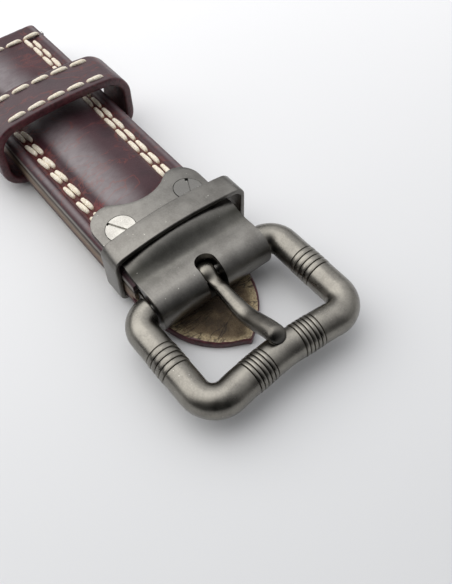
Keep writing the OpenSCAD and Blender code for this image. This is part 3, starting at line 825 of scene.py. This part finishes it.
def make_lug_loop():
    """Two plies folded round the lug bar."""
    high = reach("lug_loop")[1]
    half, middle = HALF_W - LOOP_INSET, (CORE_Z + UPPER_Z) / 2
    loop = block("folded_loop", (LUG_X, -half, CORE_Z), (high.x, half, UPPER_Z))
    cut(loop, 0, steps(LUG_X, high.x, 1.0)[1:-1])
    cut(loop, 2, [middle])
    on_faces(loop, lambda c, n: c.x < LUG_X + 0.01 and n.x < -0.9, lambda: bpy.ops.mesh.delete(type="FACE"))
    end = drum(LOOP_END_R, (LUG_X, -half, middle), (LUG_X, half, middle), 1, 40)
    carve(end, drum(LOOP_BORE_R, (LUG_X, -HALF_W - 1, middle), (LUG_X, HALF_W + 1, middle), 1, 32))
    return settle(join("folded_loop", [loop, end]), "strap", ["lug_loop"], [LAYERS])


def make_padding():
    """The felt under the raised middle."""
    low, high = reach("padding")
    half, front = PAD_HALF - 0.9, high.x - 1.2
    pad = block("felt_padding", (low.x, -half, UPPER_Z), (front, half, high.z))
    cut(pad, 0, steps(low.x, front, 2.0)[1:-1])
    cut(pad, 1, both_sides([0, 1.3, 2.6, 3.9]))

    def shape(p):
        if p.z < UPPER_Z + 0.1:
            return p
        return Vector((p.x, p.y, max(UPPER_Z + 0.3, surface_z(p.x, p.y) - SKIN_T)))

    sculpt(pad, shape)
    break_edges(pad, 0.25, 2, 30)
    shift_aside(pad)
    settle(pad, "strap", ["padding"], [FELT])
    return pad


# Lining and guard flap

FLAP_START = -5.0
FLAP_TIP = LINING_HIGH.x - 0.2
FLAP_TOP = -3.8
FLAP_BOTTOM = LINING_LOW.z
FLAP_R = ((FLAP_TIP - FLAP_START) ** 2 + HALF_W ** 2) / (2 * HALF_W)
FLAP_TRIMS = {-1: 0.55, 1: 1.6}
TIP_LEN = 3.0
DROP_FROM, DROP_TO = -6.5, -0.8
RIM_LIFT, RIM_WIDE = 0.35, 0.5
ROUGH = 0.10
LINE_DEEP, LINE_IN, LINE_HALF = 0.16, 1.15, 0.22


def drop_at(x):
    """Share of the lining's drop to the flap."""
    t = min(1.0, max(0.0, (x - DROP_FROM) / (DROP_TO - DROP_FROM)))
    return (1 - math.cos(math.pi * t)) / 2


def flap_half(x):
    """Half width of the lining: straight sides, then an arc to the tip."""
    if x <= FLAP_START:
        return HALF_W
    arc_y = math.sqrt(max(0.0, FLAP_R ** 2 - (x - FLAP_START) ** 2)) - (FLAP_R - HALF_W)
    blunt = max(0.0, 1 - (max(0.0, x - FLAP_TIP + TIP_LEN) / TIP_LEN) ** 2.8) ** (1 / 2.2)
    return max(0.02, arc_y + smooth_step((x + 1) / 10)) * blunt


def side_half(x, side):
    """Half width of the lining on one side, with the flap trimmed as in the photo."""
    half = flap_half(x)
    return half - min(FLAP_TRIMS[side] * smooth_step((x + 2) / 4), half * 0.35)


def rim_share(p, width):
    """1 at the lining's edge, 0 from a width inwards."""
    return max(0.0, 1 - (side_half(p.x, side_of(p.y)) - abs(p.y)) / width)


def lining_under(x):
    """Height of the lining's underside before it drops to the flap."""
    return UNDER_Z - SAG * smooth_step((x - DRIFT_FROM) / SAG_LEN) * smooth_step((SAG_END - x) / SAG_FADE)


def make_lining():
    """A flat skin that drops under the barrel and ends as a rough, creased flap."""
    lining = block("lining_and_flap", (LUG_X, -1, -1), (FLAP_TIP, 1, 1))
    along = steps(LUG_X, FLAP_START - 2, 2.0)[1:] + steps(FLAP_START - 2, FLAP_TIP - TIP_LEN, 0.4)[1:]
    along += [FLAP_TIP - TIP_LEN * (1 - math.sin(math.pi / 2 * i / 12)) for i in range(1, 12)]
    cut(lining, 0, along)
    cut(lining, 1, both_sides([0, 0.13, 0.26, 0.39, 0.52, 0.64, 0.74, 0.82, 0.88, 0.93, 0.965, 0.985]))

    def shape(p):
        half = side_half(p.x, side_of(p.y))
        y = p.y * half
        inwards = half - abs(y)
        drop = drop_at(p.x)
        lift = RIM_LIFT * max(0.0, 1 - inwards / RIM_WIDE) ** 2
        if p.z > 0:
            free = smooth_step((p.x - DROP_TO + 2) / 3)
            rough = ROUGH * noise.fractal(Vector((p.x * 0.5, y * 0.5, 7.0)), 0.6, 2.2, 4)
            line = LINE_DEEP * hump((inwards - LINE_IN) / LINE_HALF) * free
            z = CORE_Z + (FLAP_TOP - CORE_Z) * drop - lift + (rough - line) * free
        else:
            under = lining_under(p.x)
            z = under + (FLAP_BOTTOM - under) * drop + 0.5 * lift
        return Vector((p.x, y, z))

    sculpt(lining, shape)
    mend(lining, 0.004)
    mark(lining, "near_rim", lambda p: rim_share(p, 3.0))
    for face in lining.data.polygons:
        if face.center.x < FLAP_START:
            face.material_index = 2 if abs(face.normal.y) > 0.6 else 0
        elif face.normal.z < 0.8 or rim_share(face.center, 0.42) > 0:
            face.material_index = 1
    shift_aside(lining)
    return settle(lining, "strap", ["lining_leather"], [TAN, DARK_EDGE, LAYERS], 50)


# Stitches

STITCH_LEAN = {-1: 5, 1: -1}
PLY_TWIST = 1.1
END_ROW_X = LUG_X + 3.6


def make_stitch():
    """One stitch of two-ply thread along X, its ends dipping into their holes."""
    clear()
    bpy.ops.mesh.primitive_cylinder_add(vertices=20, radius=THREAD_D / 2, depth=STITCH_LEN,
                                        rotation=(0, math.pi / 2, 0))
    stitch = bpy.context.object
    stitch.name = "stitch"
    apply_place(stitch)
    cut(stitch, 0, steps(-STITCH_LEN / 2, STITCH_LEN / 2, 0.2)[1:-1])

    def shape(p):
        t = abs(2 * p.x / STITCH_LEN)
        fat = 0.42 + 0.58 * math.sqrt(max(0.0, 1 - t ** 4))
        ply = 0.94 + 0.20 * abs(math.cos(math.atan2(p.z, p.y) - PLY_TWIST * p.x))
        return Vector((p.x, p.y * fat * ply, p.z * fat * ply * 0.85 - 0.40 * t ** 4))

    # Soil at the ends, where the thread enters the leather, and painted shade along the thread's underside.
    def soil_and_shade(p):
        end = smooth_step((abs(2 * p.x / STITCH_LEN) - 0.82) / 0.22)
        foot = smooth_step((-p.z - 0.05) / 0.25)
        return max(0.9 * end, 0.30 * foot)

    sculpt(stitch, shape)
    mark(stitch, "soil_and_shade", soil_and_shade)
    return stitch


def copy_to(source, turn, spot):
    """A copy of a piece with its own mesh, turned and then moved."""
    made = source.copy()
    made.data = source.data.copy()
    bpy.context.scene.collection.objects.link(made)
    made.data.transform(Matrix.Translation(spot) @ turn)
    return made


def make_side_stitches(stitch, side, dice):
    """Both rows of one side; each stitch leans a little across its row."""
    made = []
    for row, front, pitch in ROWS[side]:
        for i in range(int((front - ROW_BACK) / pitch) + 1):
            x = front - i * pitch
            lean = math.radians(STITCH_LEAN[side] + dice.uniform(-2, 2))
            y = side * row + dice.uniform(-0.06, 0.06) + drift(x)
            z = grooved_z(x, side * row) + THREAD_D * 0.2
            slope = math.atan2(surface_z(x, row + 0.2) - surface_z(x, row - 0.2), 0.4) * side
            turn = Matrix.Rotation(slope, 4, "X") @ Matrix.Rotation(lean, 4, "Z")
            size = Matrix.Diagonal((dice.uniform(0.95, 1.03), dice.uniform(0.92, 1.08), 1, 1))
            made.append(copy_to(stitch, turn @ size, Vector((x, y, z))))
    name = "left" if side < 0 else "right"
    return settle(join("thread_" + name, made), "strap", ["stitching_" + name], [LINEN], 60)


def make_end_stitches(stitch):
    """The short row across the lug end."""
    turn = Matrix.Rotation(math.pi / 2, 4, "Z")
    z = surface_z(END_ROW_X, 0) + THREAD_D * 0.3
    made = [copy_to(stitch, turn, Vector((END_ROW_X, i * STITCH_PITCH, z))) for i in range(-2, 3)]
    return settle(join("thread_end", made), "strap", ["end_stitching"], [LINEN], 60)


# Leather keeper

LOOP_LOW, LOOP_HIGH = reach("leather_keeper")
LOOP_WALL = 1.7
LOOP_HALF = LOOP_HIGH.y - LOOP_WALL
LOOP_TOP = 7.3
LOOP_CROWN, LOOP_DROP = 0.9, 0.27
LOOP_BELLY = 0.25
LOOP_SHIFT = drift(LOOP_HIGH.x)


def make_leather_keeper():
    """A closed loop of thick leather with rounded cut edges."""
    loop = block("leather_loop", (LOOP_LOW.x, -LOOP_HALF, LOOP_LOW.z + LOOP_WALL), (LOOP_HIGH.x, LOOP_HALF, LOOP_TOP))
    open_ends(loop)
    modify(loop, "BEVEL", width=2.8, segments=8, limit_method="NONE")
    cut(loop, 0, steps(LOOP_LOW.x, LOOP_HIGH.x, 1.5)[1:-1])
    cut(loop, 1, both_sides([0, 1.5, 3, 4.5, 6, 7.5, 9]))

    def shape(p):
        y, z = p.y, p.z
        if z > 2:
            z += LOOP_CROWN * (1 - (p.y / LOOP_HALF) ** 2) - LOOP_DROP
        if abs(p.y) > LOOP_HALF - 1:
            y += LOOP_BELLY * (1 - ((p.z - 2) / 5) ** 2) * math.copysign(1, p.y)
        return Vector((p.x, y, z))

    sculpt(loop, shape)
    modify(loop, "SOLIDIFY", thickness=LOOP_WALL, offset=1.0, use_even_offset=True)
    break_edges(loop, 0.45, 3, 50)
    mend(loop)
    # A light, even painted sheen over the whole keeper.
    mark(loop, "painted_sheen", lambda p: 0.25)
    loop.data.transform(Matrix.Translation((0, LOOP_SHIFT, 0)))
    for face in loop.data.polygons:
        face.material_index = int(abs(face.normal.x) > 0.6)
    return settle(loop, "leather_loop", ["leather_keeper"], [BURGUNDY, DARK_EDGE])


def make_keeper_stitches(stitch):
    """A row near each edge of the keeper's top."""
    made = []
    for x in (LOOP_HIGH.x - 1.5, LOOP_LOW.x + 1.5):
        for i in range(-2, 3):
            y = i * STITCH_PITCH
            z = LOOP_TOP + LOOP_WALL + LOOP_CROWN * (1 - (y / LOOP_HALF) ** 2) - LOOP_DROP + 0.12
            slope = math.atan2(-2 * LOOP_CROWN * y / LOOP_HALF ** 2, 1)
            turn = Matrix.Rotation(slope, 4, "X") @ Matrix.Rotation(math.pi / 2, 4, "Z")
            made.append(copy_to(stitch, turn, Vector((x, y + LOOP_SHIFT, z))))
    return settle(join("thread_keeper", made), "leather_loop", ["keeper_stitching"], [LINEN], 60)


# Bent rods

def walk(route, start, heading, s):
    """Place and heading after s along a route of (length, turn in degrees) stretches."""
    spot, angle = Vector(start), math.radians(heading)
    for length, turn in route:
        part = min(s, length)
        bend = math.radians(turn) * part / length
        chord = part * (math.sin(bend / 2) / (bend / 2) if abs(bend) > 1e-9 else 1.0)
        middle = angle + bend / 2
        spot = spot + Vector((math.cos(middle), math.sin(middle))) * chord
        angle += bend
        s -= part
        if s <= 1e-9:
            break
    return spot, angle


def rod(name, length, places, sides):
    """A rod of radius 1 along X from the origin, with rings of points at the places."""
    clear()
    bpy.ops.mesh.primitive_cylinder_add(vertices=sides, radius=1, depth=length, location=(length / 2, 0, 0),
                                        rotation=(0, math.pi / 2, 0))
    made = bpy.context.object
    made.name = name
    apply_place(made)
    cut(made, 0, sorted(x for x in set(round(x, 4) for x in places) if 0.01 < x < length - 0.01))
    return made


def arc(radius, turn):
    """A stretch of a route: a turn in degrees at a radius."""
    return (radius * math.radians(abs(turn)), turn)


# Buckle frame

FRAME_HIGH = reach("buckle_frame")[1]
WIRE_R = FRAME_HIGH.z - 0.08
BAR_R = FRAME_HIGH.z + 0.1
FRAME_HALF = FRAME_HIGH.y - FRAME_HIGH.z - 0.1
FRAME_END = HALF_W + 0.25
REAR_R = FRAME_HALF - FRAME_END
CORNER_R = 3.6
CORNER_X = 15.81
BOW_ANGLE = 9
MID_ANGLE = 4
LEG_GROOVES = [7.3 + 1.05 * i for i in range(5)]
BAR_STEP = 0.74
BAR_GROOVES = 6
BAR_STRAIGHT = (BAR_GROOVES + 1) * BAR_STEP
BOW_Y = FRAME_HALF - CORNER_R - CORNER_R * math.sin(math.radians(BOW_ANGLE))
BOW_R = (BOW_Y - BAR_STRAIGHT * math.cos(math.radians(MID_ANGLE))) / math.sin(math.radians(BOW_ANGLE))
BAR_X = (CORNER_X + CORNER_R * math.cos(math.radians(BOW_ANGLE))
         - BOW_R * (1 - math.cos(math.radians(BOW_ANGLE))) - BAR_STRAIGHT * math.sin(math.radians(MID_ANGLE)))
GROOVE_HALF, GROOVE_DEEP, GROOVE_END = 0.12, 0.24, 0.3
BEAD_RISE = 0.09
END_ROUND = 0.2
PIVOT_HOLE_R, PIVOT_HOLE_DEEP = 0.65, 1.5


def turned_radius(s, groups, r):
    """Radius of the turned wire: grooves, and a rounded bead between each two."""
    for group in groups:
        step = group[1] - group[0]
        if group[0] < s < group[-1]:
            t = (s - group[0]) / step % 1.0
            r += BEAD_RISE * math.sin(math.pi * t)
        for centre in group:
            r -= GROOVE_DEEP * max(0.0, 1 - abs(s - centre) / GROOVE_HALF)
    return r


def ring_places(length, groups):
    """Where the wire needs rings of points: closer together in and beside its grooves."""
    places = steps(0, length, 0.42) + [0.08, END_ROUND, length - 0.08, length - END_ROUND]
    for group in groups:
        places = [x for x in places if not group[0] - GROOVE_END < x < group[-1] + GROOVE_END]
    for group in groups:
        step = group[1] - group[0]
        for centre in group:
            places += [centre - GROOVE_HALF, centre, centre + GROOVE_HALF]
            places += [centre + step * t for t in (0.3, 0.5, 0.7) if centre < group[-1] - 0.1]
        places += [group[0] - GROOVE_END, group[-1] + GROOVE_END]
    return places


def bore_end(wire, end, way):
    """Sinks the pivot's hole in one end of the straight wire."""
    def sink():
        bpy.ops.mesh.inset(thickness=1 - PIVOT_HOLE_R / WIRE_R)
        bpy.ops.mesh.extrude_region_move(TRANSFORM_OT_translate={"value": (way * PIVOT_HOLE_DEEP, 0, 0)})

    on_faces(wire, lambda c, n: abs(c.x - end) < 0.01 and abs(n.x) > 0.9, sink)


def make_frame():
    """A wire turned with grooves while straight, then bent into the frame."""
    half = [arc(REAR_R, 90), (CORNER_X - REAR_R, 0), arc(CORNER_R, 90 + BOW_ANGLE),
            arc(BOW_R, MID_ANGLE - BOW_ANGLE), (BAR_STRAIGHT, 0)]
    route = half + [arc(BOW_R, -2 * MID_ANGLE)] + half[::-1]
    length = sum(stretch[0] for stretch in route)
    leg_from = half[0][0] - REAR_R
    bar_from = sum(stretch[0] for stretch in half[:4])
    left = [[leg_from + x for x in LEG_GROOVES],
            [bar_from + BAR_STEP * (i + 1) for i in range(BAR_GROOVES)]]
    groups = left + [[length - s for s in reversed(group)] for group in left]
    wire = rod("grooved_frame", length, ring_places(length, groups), 64)
    bore_end(wire, 0, 1)
    bore_end(wire, length, -1)

    def shape(p):
        near_end = min(p.x, length - p.x)
        stout = smooth_step((near_end - half[0][0] - half[1][0]) / half[2][0])
        r = turned_radius(p.x, groups, WIRE_R + (BAR_R - WIRE_R) * stout)
        if math.hypot(p.y, p.z) > 0.5:
            r -= END_ROUND * (1 - math.sqrt(max(0.0, 1 - max(0.0, 1 - near_end / END_ROUND) ** 2)))
        spot, angle = walk(route, (0, -FRAME_END), -90, p.x)
        side = Vector((-math.sin(angle), math.cos(angle))) * p.y * r
        return Vector((spot.x + side.x, spot.y + side.y, p.z * r))

    sculpt(wire, shape)
    mend(wire)
    return settle(wire, "frame", ["buckle_frame"], [GUNMETAL], 50)


# Prong

EYE_HALF, EYE_T, EYE_R = 1.4, 0.42, 1.98
PRONG_ROOT_R = 1.12
PRONG_TIP_R = 1.36
PRONG_TIP_HALF = 1.62
PRONG_DOME = 1.7
PRONG_ROUTE = [arc(EYE_R, -215), arc(5.6, 32), (4.6, 0), arc(6.5, 30), (3.0, 0), arc(14, -13), (0.9, 0)]


def make_prong():
    """A rod flattened round the bar, dipping to the level of the frame and rising over its front."""
    length = sum(stretch[0] for stretch in PRONG_ROUTE)
    eye_len = PRONG_ROUTE[0][0]
    domed = [length - PRONG_DOME * (1 - math.sin(math.pi / 2 * i / 12)) for i in range(12)]
    prong = rod("bent_prong", length, steps(0, length - PRONG_DOME, 0.3) + domed, 40)

    def shape(p):
        past = p.x - eye_len
        out = smooth_step((past + 1.6) / 3.2)
        stout = smooth_step((past - 0.6) / 3.4)
        grow = smooth_step(past / (0.75 * (length - eye_len)))
        r = PRONG_ROOT_R + (PRONG_TIP_R - PRONG_ROOT_R) * grow
        broad = PRONG_ROOT_R + (PRONG_TIP_HALF - PRONG_ROOT_R) * grow
        wide = EYE_HALF + (broad - EYE_HALF) * out
        thick = EYE_T + (r - EYE_T) * stout
        tip = max(0.0, p.x - (length - PRONG_DOME)) / PRONG_DOME
        cap = math.sqrt(max(0.0, 1 - tip * tip))
        blunt = math.sqrt(max(0.0, 1 - tip ** 3.5))
        lift = (thick - EYE_T) * 0.85 * (1 - smooth_step((past - 1.5) / 3))
        spot, angle = walk(PRONG_ROUTE, (0, -EYE_R), 180, p.x)
        off = p.z * thick * cap + lift * 0.4 - 0.85 * thick * (1 - cap)
        return Vector((spot.x - math.sin(angle) * off, p.y * wide * blunt, spot.y + math.cos(angle) * off))

    def seat(p):
        """Keeps the prong's tip out of the frame's front bar, on which it rests."""
        across = Vector((p.x - BAR_X, p.z))
        least = BAR_R + 0.06
        if across.length < least and p.x > 10:
            across = across.normalized() * least
        return Vector((BAR_X + across.x, p.y, across.y))

    sculpt(prong, shape)
    sculpt(prong, seat)
    mend(prong)
    return settle(prong, "tongue", ["prong"], [PRONG_METAL], 60)


# Metal keeper

BAND_LOW, BAND_HIGH = reach("metal_keeper")
BAND_WALL = 0.9
BAND_HALF = BAND_HIGH.y - BAND_WALL
BAND_CORNERS = {1: 1.0, -1: 0.5}
BAND_LOOSE = 1.6


def make_metal_keeper():
    """A thin band with a crowned top, square corners and broken edges, wider to one side."""
    band = block("crowned_band", (BAND_LOW.x, -BAND_HALF, BAND_LOW.z + BAND_WALL),
                 (BAND_HIGH.x, BAND_HALF, BAND_HIGH.z - BAND_WALL - CROWN))
    open_ends(band)
    for way, corner in BAND_CORNERS.items():
        on_faces(band, lambda c, n: n.z * way > 0.9,
                 lambda: bpy.ops.mesh.bevel(offset=corner, segments=5, affect="EDGES"))
    cut(band, 1, both_sides([0, 1.5, 3, 4.5, 6, 7.5, 9, 10.2]))

    def crown(p):
        rise = CROWN * (1 - (p.y / BAND_HALF) ** 2) if p.z > 0 else 0.0
        return Vector((p.x, p.y + BAND_LOOSE * (p.y + BAND_HALF) / (2 * BAND_HALF), p.z + rise))

    sculpt(band, crown)
    modify(band, "SOLIDIFY", thickness=BAND_WALL, offset=1.0, use_even_offset=True)
    break_edges(band, 0.2, 3, 50)
    mend(band)
    return settle(band, "metal_loop", ["metal_keeper"], [BAND_METAL])


# End plate

PLATE_LOW, PLATE_HIGH = reach("end_plate")
BARREL_R = -PLATE_LOW.z
PLATE_T = PLATE_HIGH.z - CROWN_Z
PLATE_HALF = HALF_W - 0.05
BORE_R = 1.27
CURL = math.radians(285)
SWELL_FROM, SWELL_TO = -11.5, -8.0
SHOULDER_X, VALLEY_X, CREST_X = -7.4, -2.9, -0.6
VALLEY_DEEP = 0.12
STEP_X, SEAT_Z, SEAT_END = -7.0, 2.64, -3.7
GAP = 0.04

EAR_R = 3.5
EAR_X = PLATE_LOW.x + EAR_R
EAR_Y = PLATE_HALF - EAR_R
HOLLOW_X = PLATE_LOW.x + 2.95
HOLLOW_RISE = EAR_X - HOLLOW_X
HOLLOW_R = (HOLLOW_RISE ** 2 + EAR_Y ** 2 - EAR_R ** 2) / (2 * (EAR_R - HOLLOW_RISE))
EAR_JOIN = EAR_Y - EAR_R * EAR_Y / (EAR_R + HOLLOW_R)
EARS_END = -12.0

SLOT_HALF = 1.85
SLOT_BACK = -1.75
SLOT_FLOOR = -2.6
POCKET_R = 2.6

SCREW_X, SCREW_Y = -13.7, EAR_Y - 0.6
CROWN_R = (HALF_W ** 2 + CROWN ** 2) / (2 * CROWN)
SCREW_TILT = math.asin(SCREW_Y / CROWN_R)
HEAD_R, HEAD_DEEP = 2.72, 0.65
ABOVE = 9.0


def ear_edge(y):
    """Rear edge of the plate: two round ears with a hollow between them."""
    off = min(abs(y), PLATE_HALF)
    if off > EAR_JOIN:
        return EAR_X - math.sqrt(max(0.0, EAR_R ** 2 - (off - EAR_Y) ** 2))
    return HOLLOW_X - HOLLOW_R + math.sqrt(HOLLOW_R ** 2 - off ** 2)


def dome(y):
    """Height of the leather's crown under the plate."""
    return CROWN_Z - CROWN_R + math.sqrt(CROWN_R ** 2 - y * y)


def leaf_top(x, y):
    """The leaf swells under the metal keeper, falls to a valley and rises to the barrel."""
    swell = 0.35 + 0.30 * (1 - (y / HALF_W) ** 2)
    rear = dome(y) + PLATE_T + swell * smooth_step((x - SWELL_FROM) / (SWELL_TO - SWELL_FROM))
    fall = smooth_step((x - SHOULDER_X) / (VALLEY_X - SHOULDER_X))
    base = BARREL_R - VALLEY_DEEP * smooth_step((x - CREST_X) / (VALLEY_X - 0.2 - CREST_X))
    return rear * (1 - fall) + base * fall


def leaf_bottom(x, y):
    """The leaf lies on the leather as far as its step, and on the backing plate after it."""
    if x < STEP_X:
        return dome(y) + GAP
    under = max(leaf_top(x, y) - PLATE_T + GAP, SEAT_Z)
    return under + (BORE_R - under) * smooth_step((x - SEAT_END) / -SEAT_END)


def make_plate():
    """A domed leaf that falls to the level of the bar and curls round it, then slotted and sunk."""
    curl_len = BARREL_R * CURL
    plate = block("curled_plate", (PLATE_LOW.x, -PLATE_HALF, 0), (curl_len, PLATE_HALF, 1))
    fine = [x for x in steps(SHOULDER_X - 1, curl_len, 0.3)[1:-1] if abs(x - STEP_X) > 0.15]
    cut(plate, 0, steps(PLATE_LOW.x, EARS_END, 0.9)[1:-1] + steps(EARS_END, SHOULDER_X - 1, 0.7)
        + [STEP_X - 0.05, STEP_X + 0.05] + fine)
    corner = [EAR_Y + EAR_R * math.sin(math.radians(9 * i)) for i in range(10)]
    cut(plate, 1, both_sides(steps(0, EAR_Y, 0.6)[:-1] + corner))

    def shape(p):
        x, y = p.x, p.y
        if x < EARS_END:
            x = EARS_END + (ear_edge(y) - EARS_END) * (x - EARS_END) / (PLATE_LOW.x - EARS_END)
        if x <= 0:
            return Vector((x, y, leaf_top(x, y) if p.z > 0.5 else leaf_bottom(x, y)))
        r = BARREL_R if p.z > 0.5 else BORE_R
        return Vector((r * math.sin(x / BARREL_R), y, r * math.cos(x / BARREL_R)))

    sculpt(plate, shape)
    break_edges(plate, 0.16, 2, 55)
    slot_x = SLOT_BACK + SLOT_HALF
    carve(plate, drum(SLOT_HALF, (slot_x, 0, 0), (slot_x, 0, ABOVE), 2))
    carve(plate, block("slot", (slot_x, -SLOT_HALF, SLOT_FLOOR), (ABOVE, SLOT_HALF, ABOVE)))
    carve(plate, drum(POCKET_R, (0, -SLOT_HALF, 0), (0, SLOT_HALF, 0), 1))
    for side in (-1, 1):
        sink = drum(HEAD_R, (0, 0, -HEAD_DEEP), (0, 0, 2), 2)
        lean = Matrix.Rotation(-side * SCREW_TILT, 4, "X")
        sink.data.transform(Matrix.Translation((SCREW_X, 0, CROWN_Z - CROWN_R)) @ lean
                            @ Matrix.Translation((0, 0, CROWN_R + PLATE_T)))
        carve(plate, sink)
    mend(plate, 0.0005)
    return settle(plate, "strap", ["end_plate"], [PLATE_METAL], 35)


# Screws and hidden metal

def dress(material, *names):
    """Gives CAD nodes their material."""
    for name in names:
        slots = frame["nodes"][name].data.materials
        slots.clear()
        slots.append(material)


def dress_metal():
    """The CAD nodes that show as they are."""
    dress(GUNMETAL, "backing_plate")
    dress(SCREW_METAL, "plate_screws")
    dress(BAR_METAL, "buckle_bar", "buckle_bar_tip", "buckle_bar_spring", "lug_bar", "lug_bar_tip", "lug_bar_spring")


# Stage

CAMERA_AT = (54.28, -37.20, 90.19)
CAMERA_AIM = (8.91, -2.78, 8.00)
CAMERA_ROLL = math.radians(-1.77)
FOCAL_PIXELS = 677.3
PHOTO_H = 584
AXIS_ROW = 291
SENSOR = 36.0

FLOOR_LIGHT_WAY = (-0.85, 0.35, 0.0)
LAMP_TOWARDS = Vector((-0.45, -0.35, 0.82))
LAMP_DISTANCE, LAMP_SIZE, LAMP_POWER = 0.50, 0.65, 1.4
LAMP_COLOUR = (1.0, 0.98, 0.95)
DARK_TOWARDS = Vector((0.70, -0.58, 0.40)).normalized()
ROOM_STRENGTH = 1.62


def make_camera():
    """A camera where the photo was taken from."""
    data = bpy.data.cameras.new("camera")
    camera = bpy.data.objects.new("camera", data)
    bpy.context.scene.collection.objects.link(camera)
    bpy.context.scene.camera = camera
    data.sensor_fit = "AUTO"
    data.sensor_width = SENSOR
    data.lens = FOCAL_PIXELS * SENSOR / PHOTO_H
    data.shift_y = (AXIS_ROW - PHOTO_H / 2) / PHOTO_H
    data.clip_start, data.clip_end = 0.01, 10
    look = (place(*CAMERA_AIM) - place(*CAMERA_AT)).normalized()
    turn = look.to_track_quat("-Z", "Y").to_matrix().to_4x4()
    camera.matrix_world = Matrix.Translation(place(*CAMERA_AT)) @ turn @ Matrix.Rotation(CAMERA_ROLL, 4, "Z")


def make_floor():
    """A pale table with painted light: paler one way and a little greyer to the other side."""
    clear()
    bpy.ops.mesh.primitive_plane_add(size=4, location=(0, 0, place(0, 0, FLAP_BOTTOM).z))
    floor = bpy.context.object
    floor.name = "floor"
    material, tree, shader, coords = start_material("pale_table")
    cloud = use_group(tree, CLOUDY, coords, size=0.05, contrast=1.0)
    # Painted light: the table's colour falls from pale to greyer across it, standing in for the lamp's falloff.
    spot = weighed(tree, (facing(tree, coords, FLOOR_LIGHT_WAY), 6.0), (cloud, 0.06))
    pale = ramp(tree, maths(tree, "ADD", spot, 0.5, clamp=True),
                [(0.0, (0.60, 0.61, 0.625)), (1.0, (0.95, 0.955, 0.975))], smooth=False)
    finish(tree, shader, pale, 0.6)
    floor.data.materials.append(material)


def make_lamp():
    """One large soft lamp over the strap's rear."""
    data = bpy.data.lights.new("main_light", "AREA")
    data.shape = "SQUARE"
    data.size = LAMP_SIZE
    data.energy = LAMP_POWER
    data.color = LAMP_COLOUR
    lamp = bpy.data.objects.new("main_light", data)
    bpy.context.scene.collection.objects.link(lamp)
    direction = LAMP_TOWARDS.normalized()
    lamp.location = BAR_AXIS + direction * LAMP_DISTANCE
    lamp.rotation_mode = "QUATERNION"
    lamp.rotation_quaternion = direction.to_track_quat("Z", "Y")


def make_world():
    """A dim room, brighter overhead and behind, so that metal has something to show."""
    world = bpy.data.worlds.new("studio")
    bpy.context.scene.world = world
    world.use_nodes = True
    tree = world.node_tree
    tree.nodes.clear()
    coords = node(tree, "ShaderNodeTexCoord").outputs["Generated"]

    level = maths(tree, "ADD", maths(tree, "MULTIPLY", facing(tree, coords, LAMP_TOWARDS), 0.5), 0.5)
    sky = ramp(tree, level, [(0.25, (0.04, 0.041, 0.044)), (0.47, (0.16, 0.162, 0.168)),
                             (0.55, (0.25, 0.252, 0.26)), (0.66, (0.42, 0.422, 0.43)),
                             (0.80, (0.66, 0.66, 0.67)), (0.92, (0.95, 0.95, 0.95))], smooth=False)
    low = ramp(tree, part_of(tree, coords, "Z"), [(0.0, 0.05), (0.25, 0.25), (0.55, 1.0)], smooth=False)
    side = maths(tree, "MULTIPLY", part_of(tree, coords, "Y"), 0.35, clamp=True)
    lit = mix(tree, 1.0, mix(tree, 1.0, sky, low, "MULTIPLY"), side, "ADD")
    shade = ramp(tree, facing(tree, coords, DARK_TOWARDS), [(0.30, 1.0), (0.60, 0.45), (0.85, 0.04)], smooth=False)

    light = node(tree, "ShaderNodeBackground", Color=mix(tree, 1.0, lit, shade, "MULTIPLY"), Strength=ROOM_STRENGTH)
    out = node(tree, "ShaderNodeOutputWorld")
    tree.links.new(light.outputs["Background"], out.inputs["Surface"])


# Build

make_camera()
make_floor()
make_world()
make_lamp()
bpy.context.scene.view_settings.view_transform = "Standard"

make_upper_leather()
make_core()
make_lug_loop()
make_padding()
make_lining()

dice = random.Random(7)
stitch = make_stitch()
make_side_stitches(stitch, -1, dice)
make_side_stitches(stitch, 1, dice)
make_end_stitches(stitch)
make_leather_keeper()
make_keeper_stitches(stitch)
bpy.data.objects.remove(stitch)

make_frame()
make_prong()
make_metal_keeper()
make_plate()
dress_metal()
